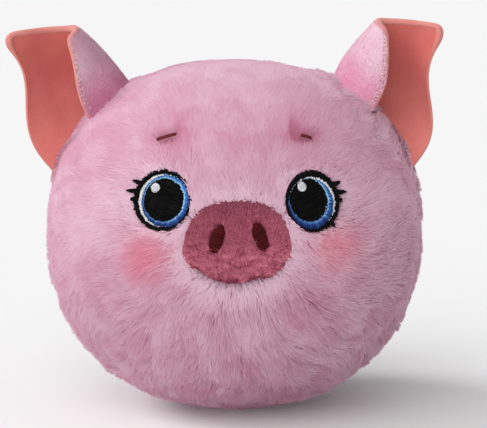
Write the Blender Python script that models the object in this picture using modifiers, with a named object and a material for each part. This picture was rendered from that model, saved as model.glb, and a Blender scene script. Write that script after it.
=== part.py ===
"""Ball-shaped plush pig: a round stuffed body with an embroidered face and two folded ears.

The pig faces -Y and rests on its base, with its own left side at +X. The origin is the
middle of the small flat that it rests on. Metres, +Z up.
"""
import math

import bpy
import bmesh
from mathutils import Matrix, Vector

MM = 0.001

# Body: a ball a little wider than tall, sewn from three panels of long-pile plush
body_width = 100.0 * MM
body_depth = 94.0 * MM
body_height = 93.0 * MM
body_squareness = 2.2
panel_thickness = 7.0 * MM
rest_flat_depth = 0.5 * MM
side_seam_back = 5.0 * MM
body_segments = 32
body_rings = 18

# Clearance that neighbouring pieces keep, and how far a cutter runs past what it cuts
sewing_gap = 0.3 * MM
cutter_overrun = 12.0 * MM

# Filling: loose stuffing over a low pouch of pellets
pouch_width = 52.0 * MM
pouch_height = 24.0 * MM
pouch_segments = 20
pouch_rings = 10

# Snout: a short-pile pad set into the face, narrower and more pointed below
snout_up_angle = math.radians(5.0)
snout_width = 27.0 * MM
snout_height = 21.5 * MM
snout_proud = 1.2 * MM
snout_edge_depth = 2.0 * MM
snout_back_depth = 2.4 * MM
snout_top_squareness = 2.2
snout_bottom_squareness = 1.8
snout_taper_share = 0.04
snout_segments = 24
snout_rings = 10

# Nostrils: two leaning ovals of satin stitch
nostril_width = 3.3 * MM
nostril_height = 7.4 * MM
nostril_thickness = 2.0 * MM
nostril_spacing = 11.1 * MM
nostril_rise = 1.4 * MM
nostril_lean = math.radians(15.0)
nostril_segments = 16
nostril_rings = 8

# Eyes: flat satin-stitched discs, let into the pile
eye_width = 15.0 * MM
eye_outline_width = 1.2 * MM
eye_snout_spacing = 1.5 * MM
eye_snout_angle = math.radians(35.0)
eye_spot_corrections = 6
eye_depth = 0.8 * MM
stitch_thickness = 1.0 * MM
iris_width = 11.7 * MM
iris_inward = 0.35 * MM
pupil_width = 9.6 * MM
pupil_rise = 0.35 * MM
glint_width = 2.4 * MM
glint_left = 1.7 * MM
glint_rise = 2.5 * MM
lash_angles = (math.radians(36.0), math.radians(18.0), math.radians(6.0))
lash_lengths = (1.9 * MM, 1.8 * MM, 0.7 * MM)
lash_width = 1.0 * MM
outline_segments = 60
ring_segments = 36
glint_segments = 16

# Brows: one short bar of thread at the bottom of a dimple above each eye
brow_length = 5.6 * MM
brow_thickness = 1.3 * MM
brow_eye_spacing = 15.4 * MM
brow_outward = 2.2 * MM
brow_lean = math.radians(20.0)
dimple_length = 8.5 * MM
dimple_width = 3.6 * MM
dimple_depth = 2.2 * MM
brow_segments = 14
brow_rings = 8

# Ears: two layers of cloth, sewn to the body along a curve and folded forward on the inner side
ear_width = 36.0 * MM
ear_height = 40.0 * MM
ear_depth = 22.0 * MM
ear_plush_thickness = 1.4 * MM
ear_lining_thickness = 1.0 * MM
ear_root_angle = math.radians(52.0)
ear_root_height = 7.0 * MM
ear_root_sunk = 4.0 * MM
ear_smoothing = 2
edge_thread_width = 0.9 * MM
edge_thread_clearance = 0.5 * MM
edge_thread_stride = 2

# Each column of an ear runs from its root to its top edge. The root is an angle from
# straight up and a share of the ear's depth behind the middle; the points after it are
# shares of the ear's width outward, its height up and its depth backward, from the hinge.
left_ear_shares = {
    "outer_edge": (math.radians(73.0), 0.05,
                   ((0.24, -0.26, -0.05), (0.21, 0.01, -0.14), (0.15, 0.26, -0.18), (0.37, 0.56, -0.27))),
    "back": (math.radians(52.0), 0.50,
             ((-0.08, -0.02, 0.45), (-0.02, 0.19, 0.36), (0.04, 0.36, 0.23), (0.15, 0.59, 0.0))),
    "fold": (math.radians(31.0), 0.14,
             ((-0.60, 0.25, 0.14), (-0.50, 0.37, 0.14), (-0.34, 0.47, 0.13), (-0.13, 0.59, 0.12))),
    "flap": (math.radians(40.0), -0.40,
             ((-0.33, 0.12, -0.42), (-0.26, 0.28, -0.38), (-0.19, 0.43, -0.28), (-0.19, 0.57, -0.18))),
    "stitched_edge": (math.radians(51.0), -0.46,
                      ((-0.12, 0.03, -0.50), (-0.09, 0.21, -0.46), (-0.12, 0.39, -0.36), (-0.12, 0.53, -0.27))),
}
right_ear_shares = {
    "outer_edge": (math.radians(74.0), 0.05,
                   ((0.27, -0.29, -0.05), (0.31, 0.00, -0.14), (0.28, 0.23, -0.18), (0.53, 0.49, -0.27))),
    "back": (math.radians(52.0), 0.50,
             ((-0.08, -0.05, 0.45), (0.05, 0.16, 0.36), (0.14, 0.34, 0.23), (0.23, 0.52, 0.0))),
    "fold": (math.radians(32.0), 0.14,
             ((-0.51, 0.22, 0.14), (-0.41, 0.30, 0.14), (-0.27, 0.41, 0.13), (-0.03, 0.53, 0.12))),
    "flap": (math.radians(41.0), -0.38,
             ((-0.30, 0.10, -0.40), (-0.22, 0.24, -0.37), (-0.13, 0.38, -0.28), (-0.07, 0.51, -0.18))),
    "stitched_edge": (math.radians(53.0), -0.46,
                      ((-0.12, 0.00, -0.50), (-0.09, 0.17, -0.45), (-0.07, 0.33, -0.36), (-0.01, 0.47, -0.27))),
}

body_centre = Vector((0.0, 0.0, body_height / 2 - rest_flat_depth))
stuffing_shrink = -(panel_thickness + sewing_gap)


def clear_scene():
    """Remove whatever the file holds."""
    for obj in list(bpy.data.objects):
        bpy.data.objects.remove(obj, do_unlink=True)


def new_collection(name):
    collection = bpy.data.collections.new(name)
    bpy.context.scene.collection.children.link(collection)
    return collection


def finish_material(name, colour, roughness):
    """A matt cloth or thread finish in one sRGB colour."""
    red, green, blue = (int(colour[i:i + 2], 16) / 255 for i in (0, 2, 4))
    linear = [value / 12.92 if value <= 0.04045 else ((value + 0.055) / 1.055) ** 2.4
              for value in (red, green, blue)]
    material = bpy.data.materials.new(name)
    material.use_nodes = True
    shader = material.node_tree.nodes["Principled BSDF"]
    shader.inputs["Base Color"].default_value = (*linear, 1.0)
    shader.inputs["Roughness"].default_value = roughness
    shader.inputs["Metallic"].default_value = 0.0
    material.diffuse_color = (*linear, 1.0)
    return material


def add_object(name, mesh, collection, material=None):
    obj = bpy.data.objects.new(name, mesh)
    collection.objects.link(obj)
    if material:
        mesh.materials.append(material)
    return obj


def mesh_from(bm, name, smooth=True):
    bmesh.ops.recalc_face_normals(bm, faces=bm.faces)
    mesh = bpy.data.meshes.new(name)
    bm.to_mesh(mesh)
    bm.free()
    if smooth:
        mesh.shade_smooth()
    return mesh


def cut(obj, cutter, operation="DIFFERENCE"):
    """Add an exact Boolean of obj with a cutter, which stays out of the model."""
    cutter.hide_render = True
    cutter.display_type = "WIRE"
    modifier = obj.modifiers.new(cutter.name, "BOOLEAN")
    modifier.object = cutter
    modifier.operation = operation
    modifier.solver = "EXACT"


def solidify(obj, thickness, offset):
    modifier = obj.modifiers.new("thickness", "SOLIDIFY")
    modifier.thickness = thickness
    modifier.offset = offset
    modifier.use_even_offset = True


# Body shape

def body_point(direction, grow=0.0):
    """Point of the rounded body in a direction from its centre, grown outward by grow."""
    unit = direction.normalized()
    half_sizes = (body_width / 2 + grow, body_depth / 2 + grow, body_height / 2 + grow)
    total = sum(abs(part / half) ** body_squareness for part, half in zip(unit, half_sizes))
    return body_centre + unit * total ** (-1 / body_squareness)


def body_normal(point):
    """Outward direction of the body's surface at a point on it."""
    half_sizes = (body_width / 2, body_depth / 2, body_height / 2)
    slopes = []
    for part, half in zip(point - body_centre, half_sizes):
        slopes.append(math.copysign(abs(part / half) ** (body_squareness - 1), part) / half)
    return Vector(slopes).normalized()


def body_form(grow=0.0):
    """The whole body as a ball of quads whose poles are the snout and the back."""
    bm = bmesh.new()
    bmesh.ops.create_uvsphere(bm, u_segments=body_segments, v_segments=body_rings, radius=1.0)
    bmesh.ops.rotate(bm, verts=bm.verts, matrix=Matrix.Rotation(math.pi / 2, 3, "X"))
    for vert in bm.verts:
        vert.co = body_point(vert.co, grow)
    return bm


def block_form(name, low, high, collection):
    """A box between two corners, used to cut panels apart and to cut the base flat."""
    bm = bmesh.new()
    bmesh.ops.create_cube(bm, size=1.0)
    bmesh.ops.scale(bm, verts=bm.verts, vec=high - low)
    bmesh.ops.translate(bm, verts=bm.verts, vec=(high + low) / 2)
    return add_object(name, mesh_from(bm, name, smooth=False), collection)


def body_panel(name, low, high, parts, cutters, material):
    """One sewn panel: the hollow ball's wall inside a box whose sides are the seams."""
    panel = add_object(name, mesh_from(body_form(), name), parts, material)
    solidify(panel, panel_thickness, -1.0)
    cut(panel, block_form(name + "_reach", low, high, cutters), "INTERSECT")
    return panel


def face_place(across, rise, depth=0.0, turn=0.0):
    """Where a piece of the face sits: across and rise are measured on a plane that touches
    the body at the snout, and its point is carried back to the surface along the line to
    the body's centre. The piece's Z axis points out of the body and its Y axis up."""
    forward = Vector((0.0, -math.cos(snout_up_angle), math.sin(snout_up_angle)))
    upward = Vector((0.0, math.sin(snout_up_angle), math.cos(snout_up_angle)))
    aim = forward * body_depth / 2 + Vector((across, 0.0, 0.0)) + upward * rise
    point = body_point(aim)
    z_axis = body_normal(point)
    x_axis = upward.cross(z_axis).normalized()
    y_axis = z_axis.cross(x_axis)
    frame = Matrix((x_axis, y_axis, z_axis)).transposed().to_4x4()
    frame.translation = point - z_axis * depth
    return frame @ Matrix.Rotation(turn, 4, "Z")


def circle(radius, centre=(0.0, 0.0), points=ring_segments):
    turn = 2 * math.pi / points
    return [(centre[0] + radius * math.cos(turn * i), centre[1] + radius * math.sin(turn * i))
            for i in range(points)]


def flat_piece(name, contours, bottom, top, place, collection, material=None):
    """A flat outline, with its holes, made solid between two heights over its own plane."""
    curve = bpy.data.curves.new(name, "CURVE")
    curve.dimensions = "2D"
    curve.fill_mode = "BOTH"
    curve.extrude = (top - bottom) / 2
    for contour in contours:
        spline = curve.splines.new("POLY")
        spline.points.add(len(contour) - 1)
        for point, (x, y) in zip(spline.points, contour):
            point.co = (x, y, 0.0, 1.0)
        spline.use_cyclic_u = True
    outline = bpy.data.objects.new(name + "_outline", curve)
    collection.objects.link(outline)
    bpy.context.view_layer.update()
    evaluated = outline.evaluated_get(bpy.context.evaluated_depsgraph_get())
    mesh = bpy.data.meshes.new_from_object(evaluated)
    bpy.data.objects.remove(outline, do_unlink=True)
    bm = bmesh.new()
    bm.from_mesh(mesh)
    bmesh.ops.remove_doubles(bm, verts=bm.verts, dist=sewing_gap / 100)
    bmesh.ops.translate(bm, verts=bm.verts, vec=Vector((0.0, 0.0, (top + bottom) / 2)))
    bmesh.ops.recalc_face_normals(bm, faces=bm.faces)
    bm.to_mesh(mesh)
    bm.free()
    mesh.name = name
    mesh.materials.clear()
    obj = add_object(name, mesh, collection, material)
    obj.matrix_world = place
    return obj


def oval_piece(name, sizes, place, segments, rings, collection, material=None):
    """A rounded pad of thread or the hollow for one: an ellipsoid of the given full sizes."""
    bm = bmesh.new()
    bmesh.ops.create_uvsphere(bm, u_segments=segments, v_segments=rings, radius=0.5)
    bmesh.ops.scale(bm, verts=bm.verts, vec=Vector(sizes))
    obj = add_object(name, mesh_from(bm, name), collection, material)
    obj.matrix_world = place
    return obj


# Snout

def snout_outline(angle, grow=0.0):
    """Half width and half height of the snout at an angle round it: squarish above,
    more pointed below, and a little wider towards the chin."""
    rise = math.sin(angle)
    across = math.cos(angle)
    power = snout_top_squareness if rise > 0 else snout_bottom_squareness
    length = (abs(across) ** power + abs(rise) ** power) ** (-1 / power)
    rise = rise * length
    across = across * length * (1 - snout_taper_share * rise)
    return across * (snout_width / 2 + grow), rise * (snout_height / 2 + grow)


def snout_form(name, front, back, grow, collection, material=None):
    """The snout as a pillow: domed in front, flatter behind, widest at its edge depth."""
    bm = bmesh.new()
    bmesh.ops.create_uvsphere(bm, u_segments=snout_segments, v_segments=snout_rings, radius=1.0)
    for vert in bm.verts:
        spread = math.hypot(vert.co.x, vert.co.y)
        across, rise = snout_outline(math.atan2(vert.co.y, vert.co.x), grow)
        height = front if vert.co.z > 0 else back
        vert.co = (across * spread, rise * spread, vert.co.z * height - snout_edge_depth)
    obj = add_object(name, mesh_from(bm, name), collection, material)
    obj.matrix_world = face_place(0.0, 0.0)
    return obj


def build_snout(face, parts, cutters, finishes):
    dome = snout_proud + snout_edge_depth
    pad = snout_form("snout_pad", dome, snout_back_depth, 0.0, parts, finishes["snout"])
    pocket = snout_form("snout_pocket", dome + cutter_overrun, snout_back_depth + sewing_gap,
                        sewing_gap, cutters)
    cut(face, pocket)
    pad_place = face_place(0.0, 0.0)
    for side, word in ((1, "left"), (-1, "right")):
        across = side * nostril_spacing / 2
        sunk = snout_edge_depth - dome * math.sqrt(1 - (2 * across / snout_width) ** 2)
        spot = Matrix.Translation(Vector((across, nostril_rise, -sunk)))
        place = pad_place @ spot @ Matrix.Rotation(side * nostril_lean, 4, "Z")
        sizes = (nostril_width, nostril_height, nostril_thickness)
        oval_piece(word + "_nostril_stitching", sizes, place, nostril_segments, nostril_rings,
                   parts, finishes["nostril"])
        grown = [size + 2 * sewing_gap for size in sizes]
        hollow = oval_piece(word + "_nostril_hollow", grown, place, nostril_segments,
                            nostril_rings, cutters)
        cut(pad, hollow)


# Eyes and brows

def eye_spot():
    """Middle of the left eye on the face plane. Its disc lies flat in the body, clear of the
    snout's edge by its spacing, and a few corrections find that place."""
    edge = Vector(snout_outline(eye_snout_angle))
    away = edge.normalized()
    near = (-away * eye_width / 2).to_3d()
    to_snout = face_place(0.0, 0.0).inverted()
    wanted = edge.length + eye_snout_spacing
    reach = wanted + eye_width / 2
    for _ in range(eye_spot_corrections):
        found = to_snout @ face_place(*(away * reach), eye_depth) @ near
        reach += wanted - found.to_2d().dot(away)
    return away * reach


def eye_outline_contour(side, grow=0.0):
    """A round outline with three short lashes on its outer side, the upper two longest."""
    contour = []
    for i in range(outline_segments):
        angle = 2 * math.pi * i / outline_segments
        radius = eye_width / 2 + grow
        for lash_angle, lash_length in zip(lash_angles, lash_lengths):
            apart = abs(math.remainder(angle - lash_angle, 2 * math.pi)) * radius
            share = max(0.0, 1 - apart / (lash_width / 2 + grow + lash_width / 2))
            radius += lash_length * share ** 0.7
        contour.append((side * radius * math.cos(angle), radius * math.sin(angle)))
    return contour


def build_eye(side, word, face, parts, cutters, finishes):
    across, rise = eye_spot()
    place = face_place(side * across, rise, eye_depth)
    hole_radius = eye_width / 2 - eye_outline_width
    white_radius = hole_radius - sewing_gap
    iris_radius = iris_width / 2
    pupil_radius = pupil_width / 2
    iris_centre = (-side * iris_inward, 0.0)
    pupil_centre = (-side * iris_inward, pupil_rise)
    glint_centre = (pupil_centre[0] - glint_left, pupil_centre[1] + glint_rise)
    layers = (
        ("outline", (eye_outline_contour(side), circle(hole_radius)), "black_thread"),
        ("iris_ring", (circle(iris_radius, iris_centre),
                       circle(pupil_radius + sewing_gap, pupil_centre)), "blue_thread"),
        ("pupil", (circle(pupil_radius, pupil_centre),
                   circle(glint_width / 2 + sewing_gap, glint_centre, glint_segments)),
         "black_thread"),
        ("glint", (circle(glint_width / 2, glint_centre, glint_segments),), "white_thread"),
    )
    for layer, contours, finish in layers:
        flat_piece(f"{word}_eye_{layer}", contours, -stitch_thickness, 0.0, place, parts,
                   finishes[finish])
    white = flat_piece(f"{word}_eye_white", (circle(white_radius),), -stitch_thickness, 0.0,
                       place, parts, finishes["white_thread"])
    iris_room = flat_piece(f"{word}_iris_room", (circle(iris_radius + sewing_gap, iris_centre),),
                           -stitch_thickness - cutter_overrun, cutter_overrun, place, cutters)
    cut(white, iris_room)
    pocket = flat_piece(f"{word}_eye_pocket", (eye_outline_contour(side, sewing_gap),),
                        -stitch_thickness - sewing_gap, cutter_overrun, place, cutters)
    cut(face, pocket)


def build_brow(side, word, face, parts, cutters, finishes):
    across, rise = eye_spot()
    spot = (side * (across + brow_outward), rise + eye_width / 2 + brow_eye_spacing)
    turn = side * -brow_lean
    dimple_sizes = (dimple_length, dimple_width, 2 * dimple_depth)
    dimple = oval_piece(f"{word}_brow_dimple", dimple_sizes, face_place(*spot, 0.0, turn),
                        brow_segments, brow_rings, cutters)
    cut(face, dimple)
    thread_depth = dimple_depth - sewing_gap - brow_thickness / 2
    oval_piece(f"{word}_brow_stitch", (brow_length, brow_thickness, brow_thickness),
               face_place(*spot, thread_depth, turn), brow_segments, brow_rings, parts,
               finishes["brow_thread"])


# Ears

def ear_cage(side, shares, hinge):
    """Cage points of an ear, column by column, each from its root to the top edge."""
    columns = []
    for root_angle, root_back, points in shares.values():
        root = Vector((side * math.sin(root_angle), 0.0, math.cos(root_angle)))
        root *= body_height / 2
        root.y = root_back * ear_depth
        column = [body_point(root, -ear_root_sunk) - hinge]
        for outward, up, back in points:
            column.append(Vector((side * outward * ear_width, back * ear_depth, up * ear_height)))
        columns.append(column)
    return columns


def ear_surface(name, side, shares, hinge):
    """The middle surface between the ear's two layers, as a grid whose faces point into the
    folded ear, where the lining lies."""
    columns = ear_cage(side, shares, hinge)
    rows = len(columns[0])
    bm = bmesh.new()
    bmesh.ops.create_grid(bm, x_segments=len(columns) - 1, y_segments=rows - 1, size=1.0)
    bm.verts.ensure_lookup_table()
    ordered = sorted(bm.verts, key=lambda vert: (round(vert.co.x, 3), round(vert.co.y, 3)))
    flat_points = [point for column in columns for point in column]
    for vert, point in zip(ordered, flat_points):
        vert.co = point
    if side > 0:
        bmesh.ops.reverse_faces(bm, faces=bm.faces)
    mesh = bpy.data.meshes.new(name)
    bm.to_mesh(mesh)
    bm.free()
    mesh.shade_smooth()
    return mesh


def ear_layer(name, surface, thickness, offset, hinge_empty, collection, material):
    layer = add_object(name, surface, collection, material)
    layer.parent = hinge_empty
    smoothing = layer.modifiers.new("smoothing", "SUBSURF")
    smoothing.levels = ear_smoothing
    smoothing.render_levels = ear_smoothing
    solidify(layer, thickness, offset)
    return layer


def layer_offset(start, thickness):
    """Solidify offset that lays a layer from start to start + thickness off its surface."""
    return 1 + 2 * start / thickness


def beyond_body(point, grow):
    """Whether a point lies outside the body grown outward by grow."""
    half_sizes = (body_width / 2 + grow, body_depth / 2 + grow, body_height / 2 + grow)
    offset = point - body_centre
    return sum(abs(part / half) ** body_squareness for part, half in zip(offset, half_sizes)) > 1


def rim_loop(bm):
    """The boundary vertices of an open surface, in order."""
    start = next(vert for vert in bm.verts if vert.is_boundary)
    loop = [start]
    previous = None
    while True:
        steps = [edge.other_vert(loop[-1]) for edge in loop[-1].link_edges if edge.is_boundary]
        ahead = steps[0] if steps[0] is not previous else steps[1]
        if ahead is start:
            return loop
        previous = loop[-1]
        loop.append(ahead)


def edge_thread_path(surface, hinge):
    """The line of stitches round the ear's free rim: the smoothed rim from one root to the
    other, moved off the cloth's edge by half the thread and its clearance."""
    smooth = add_object("rim_guide", surface, bpy.context.scene.collection)
    smoothing = smooth.modifiers.new("smoothing", "SUBSURF")
    smoothing.levels = ear_smoothing
    bpy.context.view_layer.update()
    evaluated = smooth.evaluated_get(bpy.context.evaluated_depsgraph_get())
    bm = bmesh.new()
    bm.from_mesh(evaluated.to_mesh())
    bpy.data.objects.remove(smooth, do_unlink=True)
    loop = rim_loop(bm)
    reach = edge_thread_width / 2 + edge_thread_clearance
    points = []
    for i, vert in enumerate(loop):
        ahead = loop[(i + 1) % len(loop)].co - loop[i - 1].co
        outward = ahead.cross(vert.normal).normalized()
        inside = sum((face.calc_center_median() for face in vert.link_faces), Vector())
        if outward.dot(vert.co - inside / len(vert.link_faces)) < 0:
            outward.negate()
        points.append(vert.co + outward * reach)
    bm.free()
    clear = ear_root_height + edge_thread_width + sewing_gap
    free = [beyond_body(point + hinge, clear) for point in points]
    first = next(i for i in range(len(points)) if free[i] and not free[i - 1])
    ordered = points[first:] + points[:first]
    count = sum(free)
    return ordered[:count:edge_thread_stride]


def tube(name, points, width, hinge_empty, collection, material):
    """A round thread along a list of points, closed at its ends."""
    curve = bpy.data.curves.new(name, "CURVE")
    curve.dimensions = "3D"
    curve.bevel_depth = width / 2
    curve.bevel_resolution = 1
    curve.use_fill_caps = True
    curve.materials.append(material)
    spline = curve.splines.new("POLY")
    spline.points.add(len(points) - 1)
    for spot, point in zip(spline.points, points):
        spot.co = (*point, 1.0)
    obj = bpy.data.objects.new(name, curve)
    collection.objects.link(obj)
    obj.parent = hinge_empty


def build_ear(side, word, shares, parts, cutters, finishes):
    root = Vector((side * math.sin(ear_root_angle), 0.0, math.cos(ear_root_angle)))
    hinge = body_point(root, ear_root_height)
    hinge_empty = bpy.data.objects.new(f"{word}_ear_hinge", None)
    parts.objects.link(hinge_empty)
    hinge_empty.location = hinge

    def body_cutter(name, grow):
        return add_object(name, mesh_from(body_form(grow), name), cutters)

    half_gap = sewing_gap / 2
    plush = ear_layer(f"{word}_ear_plush", ear_surface(f"{word}_ear_plush", side, shares, hinge),
                      ear_plush_thickness, -layer_offset(half_gap, ear_plush_thickness),
                      hinge_empty, parts, finishes["plush"])
    lining = ear_layer(f"{word}_ear_lining", ear_surface(f"{word}_ear_lining", side, shares, hinge),
                       ear_lining_thickness, layer_offset(half_gap, ear_lining_thickness),
                       hinge_empty, parts, finishes["lining"])
    path = edge_thread_path(ear_surface(f"{word}_rim", side, shares, hinge), hinge)
    tube(f"{word}_ear_edge_thread", path, edge_thread_width, hinge_empty, parts,
         finishes["edge_thread"])
    flex_limit = body_cutter(f"{word}_flex_limit", ear_root_height)
    cut(plush, flex_limit)
    cut(lining, flex_limit)
    whole = ear_plush_thickness + sewing_gap + ear_lining_thickness
    middle = (ear_lining_thickness - ear_plush_thickness) / whole
    root_strip = ear_layer(f"{word}_ear_root", ear_surface(f"{word}_ear_root", side, shares, hinge),
                           whole, middle, hinge_empty, parts, finishes["plush"])
    cut(root_strip, body_cutter(f"{word}_root_top", ear_root_height - sewing_gap), "INTERSECT")
    cut(root_strip, body_cutter(f"{word}_root_foot", sewing_gap))


def build():
    clear_scene()
    parts = new_collection("plush_pig")
    cutters = new_collection("cutters")
    finishes = {
        "plush": finish_material("pink_plush", "D6A5B9", 0.95),
        "lining": finish_material("coral_lining", "D0706C", 0.85),
        "edge_thread": finish_material("coral_thread", "DC8A84", 0.6),
        "snout": finish_material("rose_short_pile", "A85A6E", 0.95),
        "nostril": finish_material("dark_red_thread", "5A1B1B", 0.6),
        "black_thread": finish_material("black_thread", "161511", 0.5),
        "white_thread": finish_material("white_thread", "E4E2DF", 0.5),
        "blue_thread": finish_material("blue_thread", "4A6EA8", 0.5),
        "brow_thread": finish_material("brown_thread", "7A3540", 0.6),
        "stuffing": finish_material("white_stuffing", "F2EFEA", 1.0),
        "pouch": finish_material("pouch_cloth", "C9BFB2", 0.9),
    }

    far = Vector((body_width, body_depth, body_height))
    half_gap = sewing_gap / 2
    face = body_panel("face_panel", Vector((-far.x, -far.y, 0.0)),
                      Vector((far.x, side_seam_back - half_gap, far.z)), parts, cutters,
                      finishes["plush"])
    body_panel("left_back_panel", Vector((half_gap, side_seam_back + half_gap, 0.0)), far,
               parts, cutters, finishes["plush"])
    body_panel("right_back_panel", Vector((-far.x, side_seam_back + half_gap, 0.0)),
               Vector((-half_gap, far.y, far.z)), parts, cutters, finishes["plush"])

    stuffing = add_object("stuffing", mesh_from(body_form(stuffing_shrink), "stuffing"), parts,
                          finishes["stuffing"])
    pouch = add_object("pellet_pouch", mesh_from(body_form(stuffing_shrink), "pellet_pouch"),
                       parts, finishes["pouch"])
    pouch_foot = body_point(Vector((0.0, 0.0, -1.0)), stuffing_shrink)
    pouch_sizes = (pouch_width, pouch_width, pouch_height)
    pouch_form = oval_piece("pouch_form", pouch_sizes, Matrix.Translation(pouch_foot),
                            pouch_segments, pouch_rings, cutters)
    grown = [size + 2 * sewing_gap for size in pouch_sizes]
    pouch_room = oval_piece("pouch_room", grown, Matrix.Translation(pouch_foot),
                            pouch_segments, pouch_rings, cutters)
    cut(pouch, pouch_form, "INTERSECT")
    cut(stuffing, pouch_room)

    build_snout(face, parts, cutters, finishes)
    for side, word in ((1, "left"), (-1, "right")):
        build_eye(side, word, face, parts, cutters, finishes)
        build_brow(side, word, face, parts, cutters, finishes)
    build_ear(1, "left", left_ear_shares, parts, cutters, finishes)
    build_ear(-1, "right", right_ear_shares, parts, cutters, finishes)


build()
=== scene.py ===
"""Looks of the ball-shaped plush pig: long soft pile, an embroidered face and two lined ears.

Metres, +Z up. The pig faces -Y, and its own left side is at +X. The frame holds every piece at
its real size, and each section dresses one of them, in the order in which the pig is made.
"""
import math

import bpy
import numpy as np
from mathutils import Matrix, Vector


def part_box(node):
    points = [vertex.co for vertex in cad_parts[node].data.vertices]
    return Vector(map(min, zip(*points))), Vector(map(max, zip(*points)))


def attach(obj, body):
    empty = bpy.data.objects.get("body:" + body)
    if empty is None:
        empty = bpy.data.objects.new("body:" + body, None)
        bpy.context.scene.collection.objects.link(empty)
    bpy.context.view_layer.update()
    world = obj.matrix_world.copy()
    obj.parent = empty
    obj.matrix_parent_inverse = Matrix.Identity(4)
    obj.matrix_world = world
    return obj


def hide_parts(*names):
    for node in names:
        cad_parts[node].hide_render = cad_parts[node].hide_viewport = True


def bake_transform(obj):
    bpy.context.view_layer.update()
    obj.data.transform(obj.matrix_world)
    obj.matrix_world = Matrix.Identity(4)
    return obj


MM = 0.001
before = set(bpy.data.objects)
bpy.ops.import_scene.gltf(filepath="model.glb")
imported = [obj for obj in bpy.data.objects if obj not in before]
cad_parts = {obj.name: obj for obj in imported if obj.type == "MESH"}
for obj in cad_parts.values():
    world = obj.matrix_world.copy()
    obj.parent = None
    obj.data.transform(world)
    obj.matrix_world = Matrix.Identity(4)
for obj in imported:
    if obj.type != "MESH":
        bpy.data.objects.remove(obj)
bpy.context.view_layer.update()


# The set: a pale floor that meets a pale wall, a broad soft lamp in front on the left and a
# smaller one beside it, an even fill from all round, and a long lens a little above the eyes.

rest_flat_depth = 0.5 * MM
body_half = np.array([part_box("face_panel")[1].x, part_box("left_back_panel")[1].y,
                      (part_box("face_panel")[1].z + rest_flat_depth) / 2])
body_centre = np.array([0.0, 0.0, body_half[2] - rest_flat_depth])

camera_distance = 550 * MM
camera_elevation = math.radians(8.0)
camera_azimuth = math.radians(-1.0)
picture_width = 131.1 * MM
picture_centre_right = 2.42 * MM
picture_centre_up = 5.25 * MM
sensor_width_mm = 36.0

# Each lamp's direction, its spread in degrees and its share of the light.
lamps = {"front_lamp": ((-0.43, -0.72, 0.58), 75.0, 0.62),
         "side_lamp": ((-0.62, 0.16, 0.72), 24.0, 0.40)}
fill_share = 0.46
pale_grey = "F3F3F3"
floor_grey = "EBEBEB"
floor_half_width = 4.0


def linear(hex_code):
    """A colour written in sRGB hex as the linear values that shaders take."""
    parts = np.array([int(hex_code[i:i + 2], 16) for i in (0, 2, 4)]) / 255
    parts = np.where(parts <= 0.04045, parts / 12.92, ((parts + 0.055) / 1.055) ** 2.4)
    return (*(float(part) for part in parts), 1.0)


def add_node(tree, kind, inputs=None, **settings):
    """Add one shader node with its own settings. Its inputs take a value or a socket."""
    node = tree.nodes.new(kind)
    for name, value in settings.items():
        setattr(node, name, value)
    for name, value in (inputs or {}).items():
        if isinstance(value, bpy.types.NodeSocket):
            tree.links.new(value, node.inputs[name])
        else:
            node.inputs[name].default_value = value
    return node


def unit(vectors):
    """Vectors scaled to length one."""
    vectors = np.asarray(vectors, float)
    return vectors / np.maximum(np.linalg.norm(vectors, axis=-1, keepdims=True), 1e-12)


def mesh_piece(name, points, corners, sizes, material, smooth=True, normals=None):
    """A mesh object at the origin, from points, a flat list of face corners and each
    face's number of corners. Its shading may follow normals of its own."""
    mesh = bpy.data.meshes.new(name)
    mesh.vertices.add(len(points))
    mesh.vertices.foreach_set("co", np.asarray(points, np.float32).ravel())
    mesh.loops.add(len(corners))
    mesh.loops.foreach_set("vertex_index", np.asarray(corners, np.int32))
    mesh.polygons.add(len(sizes))
    starts = np.concatenate(([0], np.cumsum(sizes)[:-1]))
    mesh.polygons.foreach_set("loop_start", starts.astype(np.int32))
    mesh.update(calc_edges=True)
    mesh.validate()
    if smooth:
        mesh.shade_smooth()
    if normals is not None:
        mesh.normals_split_custom_set_from_vertices(np.asarray(normals, np.float32))
    mesh.materials.append(material)
    piece = bpy.data.objects.new(name, mesh)
    bpy.context.scene.collection.objects.link(piece)
    return piece


def floor_paint():
    """Matt studio paper, as pale as the wall where no shadow falls on it."""
    material = bpy.data.materials.new("matt_paper")
    material.use_nodes = True
    shader = material.node_tree.nodes["Principled BSDF"]
    shader.inputs["Base Color"].default_value = linear(floor_grey)
    shader.inputs["Roughness"].default_value = 1.0
    shader.inputs["Specular IOR Level"].default_value = 0.0
    return material


def pale_world():
    """Even white fill for the pig, and the pale wall where the lens looks past it."""
    world = bpy.data.worlds.new("pale_room")
    bpy.context.scene.world = world
    world.use_nodes = True
    tree = world.node_tree
    tree.nodes.clear()
    path = add_node(tree, "ShaderNodeLightPath")
    seen = add_node(tree, "ShaderNodeMath", {0: path.outputs["Is Camera Ray"],
                                             1: path.outputs["Is Glossy Ray"]}, operation="ADD")
    seen = add_node(tree, "ShaderNodeMath", {0: seen.outputs[0],
                                             1: path.outputs["Is Transmission Ray"]},
                    operation="ADD", use_clamp=True)
    fill = add_node(tree, "ShaderNodeBackground", {"Color": (1.0, 1.0, 1.0, 1.0),
                                                   "Strength": fill_share})
    wall = add_node(tree, "ShaderNodeBackground", {"Color": linear(pale_grey), "Strength": 1.0})
    mix = add_node(tree, "ShaderNodeMixShader", {0: seen.outputs[0], 1: fill.outputs[0],
                                                 2: wall.outputs[0]})
    add_node(tree, "ShaderNodeOutputWorld", {"Surface": mix.outputs[0]})


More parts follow.
